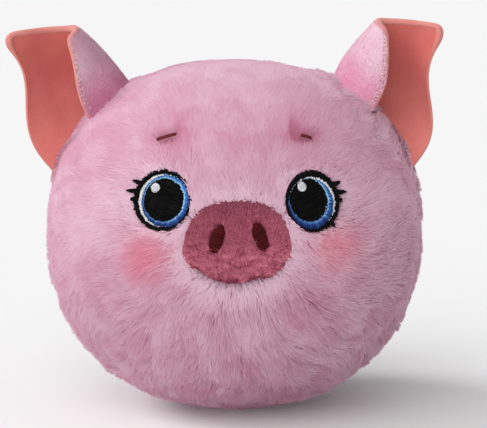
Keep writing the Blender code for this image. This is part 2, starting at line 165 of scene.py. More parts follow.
def aim(obj, back, up_hint, place):
    """Turn an object so that its Z axis points back, away from what it looks at."""
    z_axis = unit(back)
    x_axis = unit(np.cross(up_hint, z_axis))
    y_axis = np.cross(z_axis, x_axis)
    matrix = np.eye(4)
    matrix[:3, :3] = np.stack([x_axis, y_axis, z_axis], 1)
    matrix[:3, 3] = place
    obj.matrix_world = Matrix(matrix.tolist())


up_axis = np.array([0.0, 0.0, 1.0])
camera_back = np.array([math.sin(camera_azimuth) * math.cos(camera_elevation),
                        -math.cos(camera_azimuth) * math.cos(camera_elevation),
                        math.sin(camera_elevation)])
camera_right = unit(np.cross(up_axis, camera_back))
camera_up = np.cross(camera_back, camera_right)
camera_target = (body_centre + camera_right * picture_centre_right
                 + camera_up * picture_centre_up)
camera_data = bpy.data.cameras.new("long_lens")
camera_data.sensor_width = sensor_width_mm
camera_data.lens = sensor_width_mm * camera_distance / picture_width
camera_data.clip_start = 0.01
camera_data.clip_end = 20.0
camera = bpy.data.objects.new("camera", camera_data)
bpy.context.scene.collection.objects.link(camera)
aim(camera, camera_back, up_axis, camera_target + camera_back * camera_distance)
bpy.context.scene.camera = camera
bpy.context.scene.view_settings.view_transform = "Standard"

for lamp_name, (direction, spread, share) in lamps.items():
    lamp_data = bpy.data.lights.new(lamp_name, "SUN")
    lamp_data.energy = share * math.pi
    lamp_data.angle = math.radians(spread)
    lamp = bpy.data.objects.new(lamp_name, lamp_data)
    bpy.context.scene.collection.objects.link(lamp)
    aim(lamp, np.array(direction), up_axis, body_centre + unit(np.array(direction)))
pale_world()

floor_corners = np.array([[-1.0, -1.0, 0.0], [1.0, -1.0, 0.0], [1.0, 1.0, 0.0], [-1.0, 1.0, 0.0]])
floor = mesh_piece("floor", floor_corners * floor_half_width, [0, 1, 2, 3], [4], floor_paint(),
                   smooth=False)


# The filling: a cotton bag of pellets that weighs down the base, and loose polyester fibre
# round it that holds the ball in shape. Both are sewn in, and the plush hides them.

body_squareness = 2.2
panel_thickness = 7.0 * MM
sewing_gap = 0.3 * MM
pouch_low, pouch_high = (np.array(corner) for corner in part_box("pellet_pouch"))
pouch_centre = (pouch_low + pouch_high) / 2
pouch_half = (pouch_high - pouch_low) / 2
pouch_squareness = 2.3
pellet_size = 3.0 * MM
pellet_relief = 0.25 * MM
lump_size = 11.0 * MM
lump_depth = 0.8 * MM
canvas_thread_pitch = 0.5 * MM
fibre_tuft_size = 2.0 * MM


def body_point(directions, grow=0.0):
    """Points on the rounded body along directions from its centre, grown outward. Per axis,
    the direction over the half size, raised to the squareness and summed, gives the length."""
    directions = np.asarray(directions, float)
    halves = body_half + np.asarray(grow, float)[..., None]
    total = (np.abs(directions / halves) ** body_squareness).sum(-1, keepdims=True)
    return body_centre + directions * total ** (-1 / body_squareness)


def body_normal(points):
    """Outward directions of the body's surface at points near it."""
    offset = (points - body_centre) / body_half
    return unit(np.sign(offset) * np.abs(offset) ** (body_squareness - 1) / body_half)


def waves(points, length, seed, count=12):
    """Smooth noise between about -1 and 1: a sum of sine waves in random directions whose
    wavelengths lie near the given length."""
    rng = np.random.default_rng(seed)
    aims = unit(rng.normal(size=(count, 3))) * (2 * np.pi / length)
    aims *= rng.uniform(0.7, 1.4, (count, 1))
    phases = rng.uniform(0, 2 * np.pi, count)
    return np.sin(points @ aims.T + phases).sum(-1) / math.sqrt(count)


def ball_grid(rings, segments):
    """Directions of a ball whose poles lie on the Y axis, with its face corners and sizes:
    a pole, rings of equal polar angle and the other pole."""
    polar = np.linspace(0, np.pi, rings + 1)[1:-1, None]
    turn = np.linspace(0, 2 * np.pi, segments, endpoint=False)[None, :]
    rounds = np.stack(np.broadcast_arrays(np.sin(polar) * np.cos(turn), -np.cos(polar),
                                          np.sin(polar) * np.sin(turn)), -1)
    directions = np.concatenate(([[0.0, -1.0, 0.0]], rounds.reshape(-1, 3), [[0.0, 1.0, 0.0]]))
    here = np.arange(segments)
    after = (here + 1) % segments
    row = 1 + np.arange(rings - 2)[:, None] * segments
    quads = np.stack([row + here, row + segments + here, row + segments + after, row + after], -1)
    last = 1 + (rings - 2) * segments
    front = np.stack([np.zeros(segments, int), 1 + here, 1 + after], -1)
    back = np.stack([last + here, np.full(segments, last + segments), last + after], -1)
    corners = np.concatenate([front.ravel(), quads.ravel(), back.ravel()])
    sizes = np.repeat([3, 4, 3], [segments, (rings - 2) * segments, segments])
    return directions, corners, sizes


def cotton_canvas():
    """Undyed cotton canvas in plain weave: matt, with the threads just visible."""
    material = bpy.data.materials.new("cotton_canvas")
    material.use_nodes = True
    tree = material.node_tree
    shader = tree.nodes["Principled BSDF"]
    shader.inputs["Roughness"].default_value = 0.9
    shader.inputs["Specular IOR Level"].default_value = 0.2
    place = add_node(tree, "ShaderNodeTexCoord")
    scale = 1 / canvas_thread_pitch / 2
    warp = add_node(tree, "ShaderNodeTexWave", {"Vector": place.outputs["Object"], "Scale": scale,
                                                "Distortion": 0.6}, bands_direction="X")
    weft = add_node(tree, "ShaderNodeTexWave", {"Vector": place.outputs["Object"], "Scale": scale,
                                                "Distortion": 0.6}, bands_direction="Y")
    weave = add_node(tree, "ShaderNodeMath", {0: warp.outputs["Fac"], 1: weft.outputs["Fac"]},
                     operation="MULTIPLY")
    tint = add_node(tree, "ShaderNodeMix", {"Factor": weave.outputs[0],
                                            "A": linear("CFC3AE"), "B": linear("ECE4D4")},
                    data_type="RGBA")
    tree.links.new(tint.outputs["Result"], shader.inputs["Base Color"])
    bump = add_node(tree, "ShaderNodeBump", {"Height": weave.outputs[0], "Strength": 0.5,
                                             "Distance": 0.1 * MM})
    tree.links.new(bump.outputs["Normal"], shader.inputs["Normal"])
    return material


def polyester_fibre():
    """Loose white polyester fibre: tufts with soft shadows between them."""
    material = bpy.data.materials.new("polyester_fibre")
    material.use_nodes = True
    tree = material.node_tree
    shader = tree.nodes["Principled BSDF"]
    shader.inputs["Roughness"].default_value = 0.8
    shader.inputs["Sheen Weight"].default_value = 0.4
    place = add_node(tree, "ShaderNodeTexCoord")
    tuft = add_node(tree, "ShaderNodeTexNoise", {"Vector": place.outputs["Object"],
                                                 "Scale": 1 / fibre_tuft_size, "Detail": 6.0,
                                                 "Distortion": 1.5})
    tint = add_node(tree, "ShaderNodeMix", {"Factor": tuft.outputs["Fac"],
                                            "A": linear("D9D5CF"), "B": linear("F4F2EE")},
                    data_type="RGBA")
    tree.links.new(tint.outputs["Result"], shader.inputs["Base Color"])
    bump = add_node(tree, "ShaderNodeBump", {"Height": tuft.outputs["Fac"], "Strength": 0.8,
                                             "Distance": 0.5 * MM})
    tree.links.new(bump.outputs["Normal"], shader.inputs["Normal"])
    return material


def pouch_points(directions):
    """The bag's rounded form, with the pellets pressing out small bumps all over it."""
    reach = (np.abs(directions / pouch_half) ** pouch_squareness).sum(-1, keepdims=True)
    points = directions * (reach ** (-1 / pouch_squareness) - 2 * pellet_relief)
    bumps = np.abs(waves(points, 2 * pellet_size, 11))[:, None]
    return pouch_centre + points * (1 + pellet_relief * bumps / pouch_half[0])


def stuffing_points(directions):
    """The lumpy ball of fibre inside the plush, pushed up by the bag of pellets: along each
    direction it ends at the plush's inside or, if that comes first, just over the bag."""
    lumps = lump_depth * (0.5 + 0.5 * waves(directions * body_half, lump_size, 12))
    points = body_point(directions, -(panel_thickness + sewing_gap) - np.clip(lumps, 0, 2 * MM))
    half = pouch_half + sewing_gap
    start = (body_centre - pouch_centre) / half
    slope = directions / half
    along = (start * slope).sum(-1)
    square = (slope ** 2).sum(-1)
    inside = along ** 2 - square * ((start ** 2).sum() - 1)
    meets = (inside > 0) & (along < 0)
    until = np.where(meets, (-along - np.sqrt(np.maximum(inside, 0))) / square, np.inf)
    reach = np.linalg.norm(points - body_centre, axis=-1)
    return body_centre + directions * np.minimum(reach, until)[:, None]


ball_directions, ball_corners, ball_sizes = ball_grid(64, 96)
pouch = mesh_piece("pellet_bag", pouch_points(ball_directions), ball_corners, ball_sizes,
                   cotton_canvas())
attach(pouch, "body")
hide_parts("pellet_pouch")
filling = mesh_piece("fibre_filling", stuffing_points(ball_directions), ball_corners, ball_sizes,
                     polyester_fibre())
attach(filling, "body")
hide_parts("stuffing")


# The ears: a short-pile pink cloth and a smooth coral lining, sewn together round their edge,
# where the lining rolls outwards. Each is folded forward along its inner side and caught in
# the cover's seam.

ear_width, ear_depth, ear_height = 36.0 * MM, 22.0 * MM, 40.0 * MM
ear_root_angle = math.radians(52.0)
ear_root_height = 7.0 * MM
ear_root_sunk = 4.0 * MM
ear_gap = 0.08 * MM
plush_thickness = 1.1 * MM
lining_thickness = 0.75 * MM
# Each column of an ear's cage: its root's angle in degrees, how far back the root lies, and
# four places across, up and back from the ear's foot, in shares of the ear's three sizes.
ear_cages = {
    "left": ((73.0, 0.05, ((0.24, -0.26, -0.05), (0.21, 0.01, -0.14), (0.15, 0.26, -0.18),
                           (0.37, 0.56, -0.27))),
             (52.0, 0.50, ((-0.08, -0.02, 0.45), (-0.02, 0.19, 0.36), (0.04, 0.36, 0.23),
                           (0.15, 0.59, 0.0))),
             (31.0, 0.14, ((-0.60, 0.25, 0.14), (-0.50, 0.37, 0.14), (-0.34, 0.47, 0.13),
                           (-0.13, 0.59, 0.12))),
             (40.0, -0.40, ((-0.33, 0.12, -0.42), (-0.26, 0.28, -0.38), (-0.19, 0.43, -0.28),
                            (-0.19, 0.57, -0.18))),
             (51.0, -0.46, ((-0.12, 0.03, -0.50), (-0.09, 0.21, -0.46), (-0.12, 0.39, -0.36),
                            (-0.12, 0.53, -0.27)))),
    "right": ((74.0, 0.05, ((0.27, -0.29, -0.05), (0.31, 0.00, -0.14), (0.28, 0.23, -0.18),
                            (0.53, 0.49, -0.27))),
              (52.0, 0.50, ((-0.08, -0.05, 0.45), (0.05, 0.16, 0.36), (0.14, 0.34, 0.23),
                            (0.23, 0.52, 0.0))),
              (32.0, 0.14, ((-0.51, 0.22, 0.14), (-0.41, 0.30, 0.14), (-0.27, 0.41, 0.13),
                            (-0.03, 0.53, 0.12))),
              (41.0, -0.38, ((-0.30, 0.10, -0.40), (-0.22, 0.24, -0.37), (-0.13, 0.38, -0.28),
                             (-0.07, 0.51, -0.18))),
              (53.0, -0.46, ((-0.12, 0.00, -0.50), (-0.09, 0.17, -0.45), (-0.07, 0.33, -0.36),
                             (-0.01, 0.47, -0.27)))),
}
# Where the cloth ends in the cage's own numbers, 0 to 4: at its outer and its front edge, and
# at the outer and the front end of its top.
ear_trims = {"left": (0.10, 3.72, 3.82, 3.62), "right": (0.10, 3.92, 3.86, 3.72)}
ear_corner = 0.42
pressed_share = 0.35
pressed_width = 0.13
# Half sizes of the rolled edge along the outer edge, the top and the folded front edge.
rim_half_thicknesses = np.array([0.42, 1.15, 1.05]) * MM
rim_half_widths = np.array([0.22, 0.90, 0.5]) * MM
rim_stitch_pitch = 1.0 * MM
stitch_pitch = 0.33 * MM
ear_strands = 17000
ear_strand_width = 0.13 * MM
ear_strand_length = 1.2 * MM
ear_pile_stand = 0.30 * MM
ear_pile_softness = 0.88
strand_rows = np.array([0.0, 0.34, 0.7, 1.0])
ear_pile_colours = ("A9718A", "C294A8", "D1AEBD", "DEC8D2")
# The ear pile's deeper colours at its foot are painted shade.
ear_foot_shade_colours = ("A84474", "C05C88", "CE769C", "DE96B4")
lining_colours = ("C05C56", "D0716A")
# The lining's paler colours low down, and the heights in mm over which they fade into its own:
# painted light where the lamps reach the ear's lower part more.
lining_lit_foot_colours = ("E07C74", "F2978E")
lining_light_fade = (68.0, 92.0)
rim_colours = ("C4736C", "DA9089")
# Each ear's pile is lighter or darker as a whole: painted light and shade for how the lamps fall on
# it.
ear_painted_light_tones = {"left": 0.13, "right": -0.08}


def smooth_step(value, low, high):
    """Share from 0 at low to 1 at high that starts and ends level: s * s * (3 - 2 s)."""
    share = np.clip((value - low) / (high - low), 0, 1)
    return share * share * (3 - 2 * share)


def strand_piece(name, rows, sides, widths, tones, blush_and_painted_light, material, out, softness=0.7):
    """A mesh of flat strands that taper to a point. Every strand has a pair of points at
    each row but the last, half its width to both sides, and one point at its tip. Its
    shading leans towards that of the surface under the pile, and it casts no shadow on its
    neighbours, as fine fibres let light through. The cloths under it cast theirs."""
    count = rows.shape[0]
    half = (sides * widths[..., None] / 2)[:, :3]
    points = np.empty((count, 7, 3))
    points[:, 0:6:2] = rows[:, :3] - half
    points[:, 1:6:2] = rows[:, :3] + half
    points[:, 6] = rows[:, 3]
    pattern = np.array([0, 1, 3, 2, 2, 3, 5, 4, 4, 5, 6])
    corners = (np.arange(count)[:, None] * 7 + pattern).ravel()
    flat = unit(np.cross(rows[:, 3] - rows[:, 0], sides[:, 0]))
    flat *= np.sign((flat * out).sum(-1, keepdims=True) + 1e-9)
    lean = unit(out * softness + flat * (1 - softness))
    piece = mesh_piece(name, points.reshape(-1, 3), corners, np.tile([4, 4, 3], count), material,
                       normals=np.repeat(lean, 7, 0))
    spots = np.empty((count, 7, 2))
    spots[:, 0:6:2, 0] = tones[:, :3]
    spots[:, 1:6:2, 0] = tones[:, :3]
    spots[:, 6, 0] = tones[:, 3]
    # The second number: rose tint on the cheeks, painted shade at the ears' feet and painted light
    # low on the snout.
    spots[..., 1] = (0.03 + 0.94 * blush_and_painted_light)[:, None]
    spots[:, 0:6:2, 1] -= 0.004
    spots[:, 1:6:2, 1] += 0.004
    piece.visible_shadow = False
    layer = piece.data.uv_layers.new(name="OFBake")
    layer.data.foreach_set("uv", spots.reshape(-1, 2)[corners].astype(np.float32).ravel())
    return piece


def pile_paint(name, shades, blushes_and_painted_light, roughness=0.62, sheen=0.35):
    """Crimped polyester pile: soft and matt with a little sheen, and darker at its roots, which
    is painted shade deep in the pile. The map's first number is the place along a strand and
    its tone, the second the share of the second colours: rose tint on the body's cheeks,
    painted shade at the ears' feet and painted light low on the snout."""
    material = bpy.data.materials.new(name)
    material.use_nodes = True
    tree = material.node_tree
    shader = tree.nodes["Principled BSDF"]
    shader.inputs["Roughness"].default_value = roughness
    shader.inputs["Specular IOR Level"].default_value = 0.25
    shader.inputs["Sheen Weight"].default_value = sheen
    shader.inputs["Sheen Roughness"].default_value = 0.5
    shader.inputs["Sheen Tint"].default_value = linear("F6B6CC")
    place = add_node(tree, "ShaderNodeUVMap", uv_map="OFBake")
    split = add_node(tree, "ShaderNodeSeparateXYZ", {"Vector": place.outputs["UV"]})
    ramps = []
    for colours in (shades, blushes_and_painted_light):
        ramp = add_node(tree, "ShaderNodeValToRGB", {"Fac": split.outputs["X"]})
        stops = np.linspace(0, 1, len(colours))
        for number, (stop, colour) in enumerate(zip(stops, colours)):
            if 0 < number < len(colours) - 1:
                ramp.color_ramp.elements.new(float(stop))
        for element, stop, colour in zip(ramp.color_ramp.elements, stops, colours):
            element.position = float(stop)
            element.color = linear(colour)
        ramps.append(ramp)
    tint = add_node(tree, "ShaderNodeMix", {"Factor": split.outputs["Y"],
                                            "A": ramps[0].outputs["Color"],
                                            "B": ramps[1].outputs["Color"]}, data_type="RGBA")
    tree.links.new(tint.outputs["Result"], shader.inputs["Base Color"])
    return material


def stitches(name, starts, ends, base, outward, tones, material, width=stitch_pitch):
    """Rows of satin stitch. Each is a half-round bar from its start to its end, dipped at
    both ends where the thread goes through the cloth. The map holds its tone and the place
    along it."""
    count = len(starts)
    stations = np.array([0.0, 0.12, 0.5, 0.88, 1.0])
    dips = np.array([-0.35, 0.25, 0.55, 0.25, -0.35])
    spread = np.array([-0.62, -0.36, 0.0, 0.36, 0.62])
    rounds = np.array([-0.30, 0.25, 0.45, 0.25, -0.30])
    centre = starts[:, None] + (ends - starts)[:, None] * stations[:, None]
    outward = np.broadcast_to(outward, (count, 3))
    side = unit(np.cross(outward, ends - starts))
    lift = (dips[:, None] + rounds[None, :]) * width
    points = (centre[:, :, None] + side[:, None, None] * (spread * width)[:, None]
              + outward[:, None, None] * (lift + base)[..., None])
    cell = np.arange(4)[:, None] * 5 + np.arange(4)
    pattern = np.stack([cell, cell + 5, cell + 6, cell + 1], -1).reshape(-1, 4)
    corners = (np.arange(count)[:, None] * 25 + pattern.ravel()).ravel()
    piece = mesh_piece(name, points.reshape(-1, 3), corners, np.full(count * 16, 4), material)
    spots = np.empty((count, 5, 5, 2))
    spots[..., 0] = tones[:, None, None]
    spots[..., 1] = stations[:, None]
    layer = piece.data.uv_layers.new(name="thread")
    layer.data.foreach_set("uv", spots.reshape(-1, 2)[corners].astype(np.float32).ravel())
    return piece


def thread_paint(name, inner, middle, outer, roughness=0.42, gloss=0.3):
    """Trilobal polyester embroidery thread: it shines softly along its length. The colours
    run from the stitch's start to its end, and each stitch has a tone of its own."""
    material = bpy.data.materials.new(name)
    material.use_nodes = True
    tree = material.node_tree
    shader = tree.nodes["Principled BSDF"]
    shader.inputs["Roughness"].default_value = roughness
    shader.inputs["Specular IOR Level"].default_value = gloss
    place = add_node(tree, "ShaderNodeUVMap", uv_map="thread")
    split = add_node(tree, "ShaderNodeSeparateXYZ", {"Vector": place.outputs["UV"]})
    pairs = []
    for pair in (inner, middle, outer):
        pairs.append(add_node(tree, "ShaderNodeMix", {"Factor": split.outputs["X"],
                                                      "A": linear(pair[0]), "B": linear(pair[1])},
                              data_type="RGBA"))
    first = add_node(tree, "ShaderNodeMapRange", {"Value": split.outputs["Y"], "From Min": 0.12,
                                                  "From Max": 0.42})
    second = add_node(tree, "ShaderNodeMapRange", {"Value": split.outputs["Y"], "From Min": 0.5,
                                                   "From Max": 0.85})
    near = add_node(tree, "ShaderNodeMix", {"Factor": first.outputs["Result"],
                                            "A": pairs[0].outputs["Result"],
                                            "B": pairs[1].outputs["Result"]}, data_type="RGBA")
    whole = add_node(tree, "ShaderNodeMix", {"Factor": second.outputs["Result"],
                                             "A": near.outputs["Result"],
                                             "B": pairs[2].outputs["Result"]}, data_type="RGBA")
    tree.links.new(whole.outputs["Result"], shader.inputs["Base Color"])
    spot = add_node(tree, "ShaderNodeTexCoord")
    twist = add_node(tree, "ShaderNodeTexNoise", {"Vector": spot.outputs["Object"],
                                                  "Scale": 1 / (0.25 * MM), "Detail": 2.0})
    bump = add_node(tree, "ShaderNodeBump", {"Height": twist.outputs["Fac"], "Strength": 0.35,
                                             "Distance": 0.05 * MM})
    tree.links.new(bump.outputs["Normal"], shader.inputs["Normal"])
    return material


def spline_weights(count, along):
    """Weights of a uniform cubic B-spline that begins and ends on its outer points. A point
    is added past each end, as far out as the next one lies in."""
    added = np.zeros((count + 2, count))
    added[1:-1] = np.eye(count)
    added[0, :2] = (2, -1)
    added[-1, -2:] = (-1, 2)
    first = np.minimum(along.astype(int), count - 2)
    f = (along - first)[:, None]
    basis = np.concatenate([(1 - f) ** 3, 3 * f ** 3 - 6 * f ** 2 + 4,
                            -3 * f ** 3 + 3 * f ** 2 + 3 * f + 1, f ** 3], 1) / 6
    return sum(basis[:, k:k + 1] * added[first + k] for k in range(4))


def ear_cage(word, side):
    """The ear's cage, a grid of columns from the root to the top edge, in place."""
    root_aim = np.array([side * math.sin(ear_root_angle), 0.0, math.cos(ear_root_angle)])
    hinge = body_point(root_aim, ear_root_height)
    columns = []
    for root_angle, root_back, points in ear_cages[word]:
        turn = math.radians(root_angle)
        root = np.array([side * math.sin(turn), 0.0, math.cos(turn)]) * body_half[2]
        root[1] = root_back * ear_depth
        points = np.array(points)
        steps = np.stack([side * points[:, 0] * ear_width, points[:, 2] * ear_depth,
                          points[:, 1] * ear_height], -1)
        columns.append(np.concatenate([[body_point(unit(root), -ear_root_sunk)], hinge + steps]))
    return np.array(columns), body_point(root_aim), hinge


def ear_spots(cage, side, across, along):
    """Points of the ear's middle surface, and its outward directions on the lining's side,
    at pairs of numbers from 0 to 4 across and along it."""
    step = 1e-3
    count = len(cage)

    def spot(u, v):
        return np.einsum("nc,nr,crx->nx", spline_weights(count, u), spline_weights(count, v), cage)

    low_u, high_u = np.maximum(across - step, 0), np.minimum(across + step, count - 1)
    low_v, high_v = np.maximum(along - step, 0), np.minimum(along + step, count - 1)
    ahead = spot(across, high_v) - spot(across, low_v)
    beside = spot(high_u, along) - spot(low_u, along)
    return spot(across, along), -side * unit(np.cross(beside, ahead))


def ear_grid(word, across, along):
    """Numbers across and along the ear at shares of its width and height. Its outer edge is
    drawn in towards the top, and its two top corners are rounded."""
    outer, front, outer_top, front_top = ear_trims[word]
    near = np.clip(1 - np.minimum(across, 1 - across) * (front - outer) / ear_corner, 0, 1)
    top = outer_top + (front_top - outer_top) * across
    v = along * (top - ear_corner * (1 - np.sqrt(1 - near ** 2)))
    edge = outer * smooth_step(v, 0.8, 2.4)
    return edge + (front - edge) * across, v


def closer_at_ends(count):
    """Shares from 0 to 1 that lie closer together towards both ends."""
    return 0.5 - 0.5 * np.cos(np.linspace(0, np.pi, count))


def pressed(across):
    """Share of its thickness that the cloth keeps: it is pressed thin at the outer edge."""
    return pressed_share + (1 - pressed_share) * smooth_step(across, 0, pressed_width)


def ear_layer(name, word, cage, side, low, high, material, columns=72, rows=64):
    """One cloth of the ear: the middle surface moved to two heights over it, joined all
    round the edge."""
    across, along = np.meshgrid(closer_at_ends(columns), np.linspace(0, 1, rows), indexing="ij")
    u, v = ear_grid(word, across, along)
    out_share = pressed(across).ravel()[:, None]
    points, out = ear_spots(cage, side, u.ravel(), v.ravel())
    count = len(points)
    index = np.arange(count).reshape(columns, rows)
    quads = np.stack([index[:-1, :-1], index[1:, :-1], index[1:, 1:], index[:-1, 1:]], -1)
    quads = quads.reshape(-1, 4)
    if side > 0:
        quads = quads[:, ::-1]
    ring = np.concatenate([index[:-1, 0], index[-1, :-1], index[:0:-1, -1], index[0, :0:-1]])
    after = np.roll(ring, -1)
    walls = np.stack([ring + count, after + count, after, ring], -1)
    if side > 0:
        walls = walls[:, ::-1]
    corners = np.concatenate([quads, quads[:, ::-1] + count, walls]).ravel()
    both = np.concatenate([points + out * high * out_share, points + out * low * out_share])
    return mesh_piece(name, both, corners, np.full(len(corners) // 4, 4), material)


def ear_rim(name, word, cage, side, material):
    """The lining rolled over the edge: an oval roll that is thin along the outer edge, full
    along the top and thin again down the folded front edge. Stitches press shallow dents
    into it, and its ends lie in the root."""
    side_count, top_count, round_count = 150, 200, 18
    up = np.linspace(0.05, 1, side_count)
    across = np.concatenate([np.zeros(side_count), closer_at_ends(top_count), np.ones(side_count)])
    u, v = ear_grid(word, across, np.concatenate([up, np.ones(top_count), up[::-1]]))
    leg = np.repeat([0.0, 1.0, 2.0], [side_count, top_count, side_count])
    points, out = ear_spots(cage, side, u, v)
    window = np.ones(9) / 9
    for _ in range(2):
        padded = np.pad(points, ((4, 4), (0, 0)), mode="edge")
        smooth = np.stack([np.convolve(padded[:, k], window, "valid") for k in range(3)], -1)
        smooth[:4], smooth[-4:] = points[:4], points[-4:]
        points = smooth
        padded = np.pad(out, ((4, 4), (0, 0)), mode="edge")
        out = unit(np.stack([np.convolve(padded[:, k], window, "valid") for k in range(3)], -1))
    length = np.concatenate([[0], np.cumsum(np.linalg.norm(np.diff(points, axis=0), axis=-1))])
    count = int(length[-1] / (0.22 * MM))
    even = np.linspace(0, length[-1], count)
    points = np.stack([np.interp(even, length, points[:, k]) for k in range(3)], -1)
    out = unit(np.stack([np.interp(even, length, out[:, k]) for k in range(3)], -1))
    leg = np.interp(even, length, leg)
    leg = np.convolve(np.pad(leg, 12, mode="edge"), np.ones(25) / 25, "valid")
    ahead = unit(np.gradient(points, axis=0))
    beside = unit(np.cross(ahead, out))
    middle = ear_spots(cage, side, np.array([2.0]), np.array([2.4]))[0]
    beside *= np.sign(((points - middle) * beside).sum(-1).mean())
    half_width = np.interp(leg, [0, 1, 2], rim_half_widths)
    half_width = half_width + 0.05 * MM * waves(points, 6 * MM, 24)
    half_thick = np.interp(leg, [0, 1, 2], rim_half_thicknesses)
    taper = np.minimum(1.0, np.minimum(even, even[-1] - even) / (2 * MM) + 0.35)
    dent = 1 - 0.05 * np.abs(np.cos(np.pi * even / rim_stitch_pitch)) ** 6
    turn = np.linspace(0, 2 * np.pi, round_count, endpoint=False)
    inward = 0.55 * half_width[:, None]
    reach_out = (np.cos(turn) * half_width[:, None] - inward) * (taper * dent)[:, None]
    reach_up = np.sin(turn) * (half_thick * taper * dent)[:, None] - 0.14 * MM
    tube = (points[:, None] + beside[:, None] * reach_out[..., None]
            + out[:, None] * reach_up[..., None])
    caps = tube[[0, -1]].mean(1)
    row = np.arange(count - 1)[:, None] * round_count
    here = np.arange(round_count)
    after = (here + 1) % round_count
    ahead_row = row + round_count
    quads = np.stack([row + here, ahead_row + here, ahead_row + after, row + after], -1)
    last, cap = (count - 1) * round_count, np.full(round_count, count * round_count)
    ends = np.concatenate([np.stack([here, after, cap], -1),
                           np.stack([after + last, here + last, cap + 1], -1)])
    if np.cross(beside[9], out[9]) @ ahead[9] < 0:
        quads, ends = quads[..., ::-1], ends[:, ::-1]
    corners = np.concatenate([quads.ravel(), ends.ravel()])
    sizes = np.repeat([4, 3], [last, 2 * round_count])
    return mesh_piece(name, np.concatenate([tube.reshape(-1, 3), caps]), corners, sizes, material)


def ear_pile(name, word, cage, side, material, seed):
    """Short pile on the pink side, lying towards the ear's top."""
    rng = np.random.default_rng(seed)
    across = rng.uniform(0.015, 0.99, ear_strands)
    u, v = ear_grid(word, across, rng.uniform(0.03, 0.93, ear_strands))
    roots, out = ear_spots(cage, side, u, v)
    ahead = ear_spots(cage, side, u, np.minimum(v + 0.05, 4.0))[0] - roots
    beside = np.cross(out, unit(ahead))
    angle = (0.3 * waves(roots, 9 * MM, seed) + 0.25 * rng.normal(size=len(u)))[:, None]
    flow = unit(unit(ahead) * np.cos(angle) + beside * np.sin(angle))
    length = ear_strand_length * rng.uniform(0.7, 1.2, len(u))
    stand = ear_pile_stand * rng.uniform(0.6, 1.3, len(u))
    base = (ear_gap + plush_thickness) * pressed(across) - 0.05 * MM
    rise = base[:, None] + stand[:, None] * (1 - (1 - strand_rows) ** 2)
    rows = (roots[:, None] + flow[:, None] * (length[:, None] * strand_rows)[..., None]
            - out[:, None] * rise[..., None])
    roll = rng.uniform(-0.35, 0.35, len(u))[:, None]
    sides = unit(np.cross(out, flow))
    sides = sides * np.cos(roll) + np.cross(flow, sides) * np.sin(roll)
    widths = (rng.uniform(0.8, 1.2, len(u)) * ear_strand_width)[:, None]
    widths = widths * np.array([0.8, 1.0, 0.8, 0.0])
    # Painted light and shade: a tone for the whole ear, plus random tones.
    tone = ear_painted_light_tones[word] + 0.07 * rng.normal(size=len(u)) + 0.05 * waves(roots, 5 * MM, seed + 1)
    tones = np.clip(0.30 + 0.55 * strand_rows + tone[:, None], 0, 1)
    # Painted shade: on the front half the pile turns deeper pink towards the ear's foot, where the
    # body shades it.
    foot = smooth_step(-v, -2.2, -0.5)
    blush_and_painted_light = np.clip(0.05 + 0.75 * foot * (u > 1.5) + 0.06 * waves(roots, 8 * MM, seed + 2), 0, 1)
    return strand_piece(name, rows, np.repeat(sides[:, None], 4, 1), widths, tones, blush_and_painted_light,
                        material, -out, softness=ear_pile_softness)


def ear_dots(name, word, cage, side, material, seed):
    """The seam's small overcast stitches, in two rows beside the folded front edge."""
    rng = np.random.default_rng(seed)
    starts, ends, outs = [], [], []
    for across, count in ((0.984, 48), (0.962, 44)):
        along = np.linspace(0.2, 0.95, count) + rng.normal(scale=0.003, size=count)
        u, v = ear_grid(word, across + rng.normal(scale=0.003, size=count), along)
        spot, out = ear_spots(cage, side, u, v)
        ahead = ear_spots(cage, side, u, np.minimum(v + 0.02, 4.0))[0] - spot
        beside = np.cross(out, unit(ahead))
        spot = spot - out * (ear_gap + plush_thickness + ear_pile_stand * 0.6)
        step = unit(0.5 * unit(ahead) + beside) * 0.32 * MM
        starts.append(spot - step)
        ends.append(spot + step)
        outs.append(-out)
    starts, ends, outs = (np.concatenate(part) for part in (starts, ends, outs))
    return stitches(name, starts, ends, 0.05 * MM, outs, rng.uniform(0, 1, len(starts)),
                    material, width=0.19 * MM)


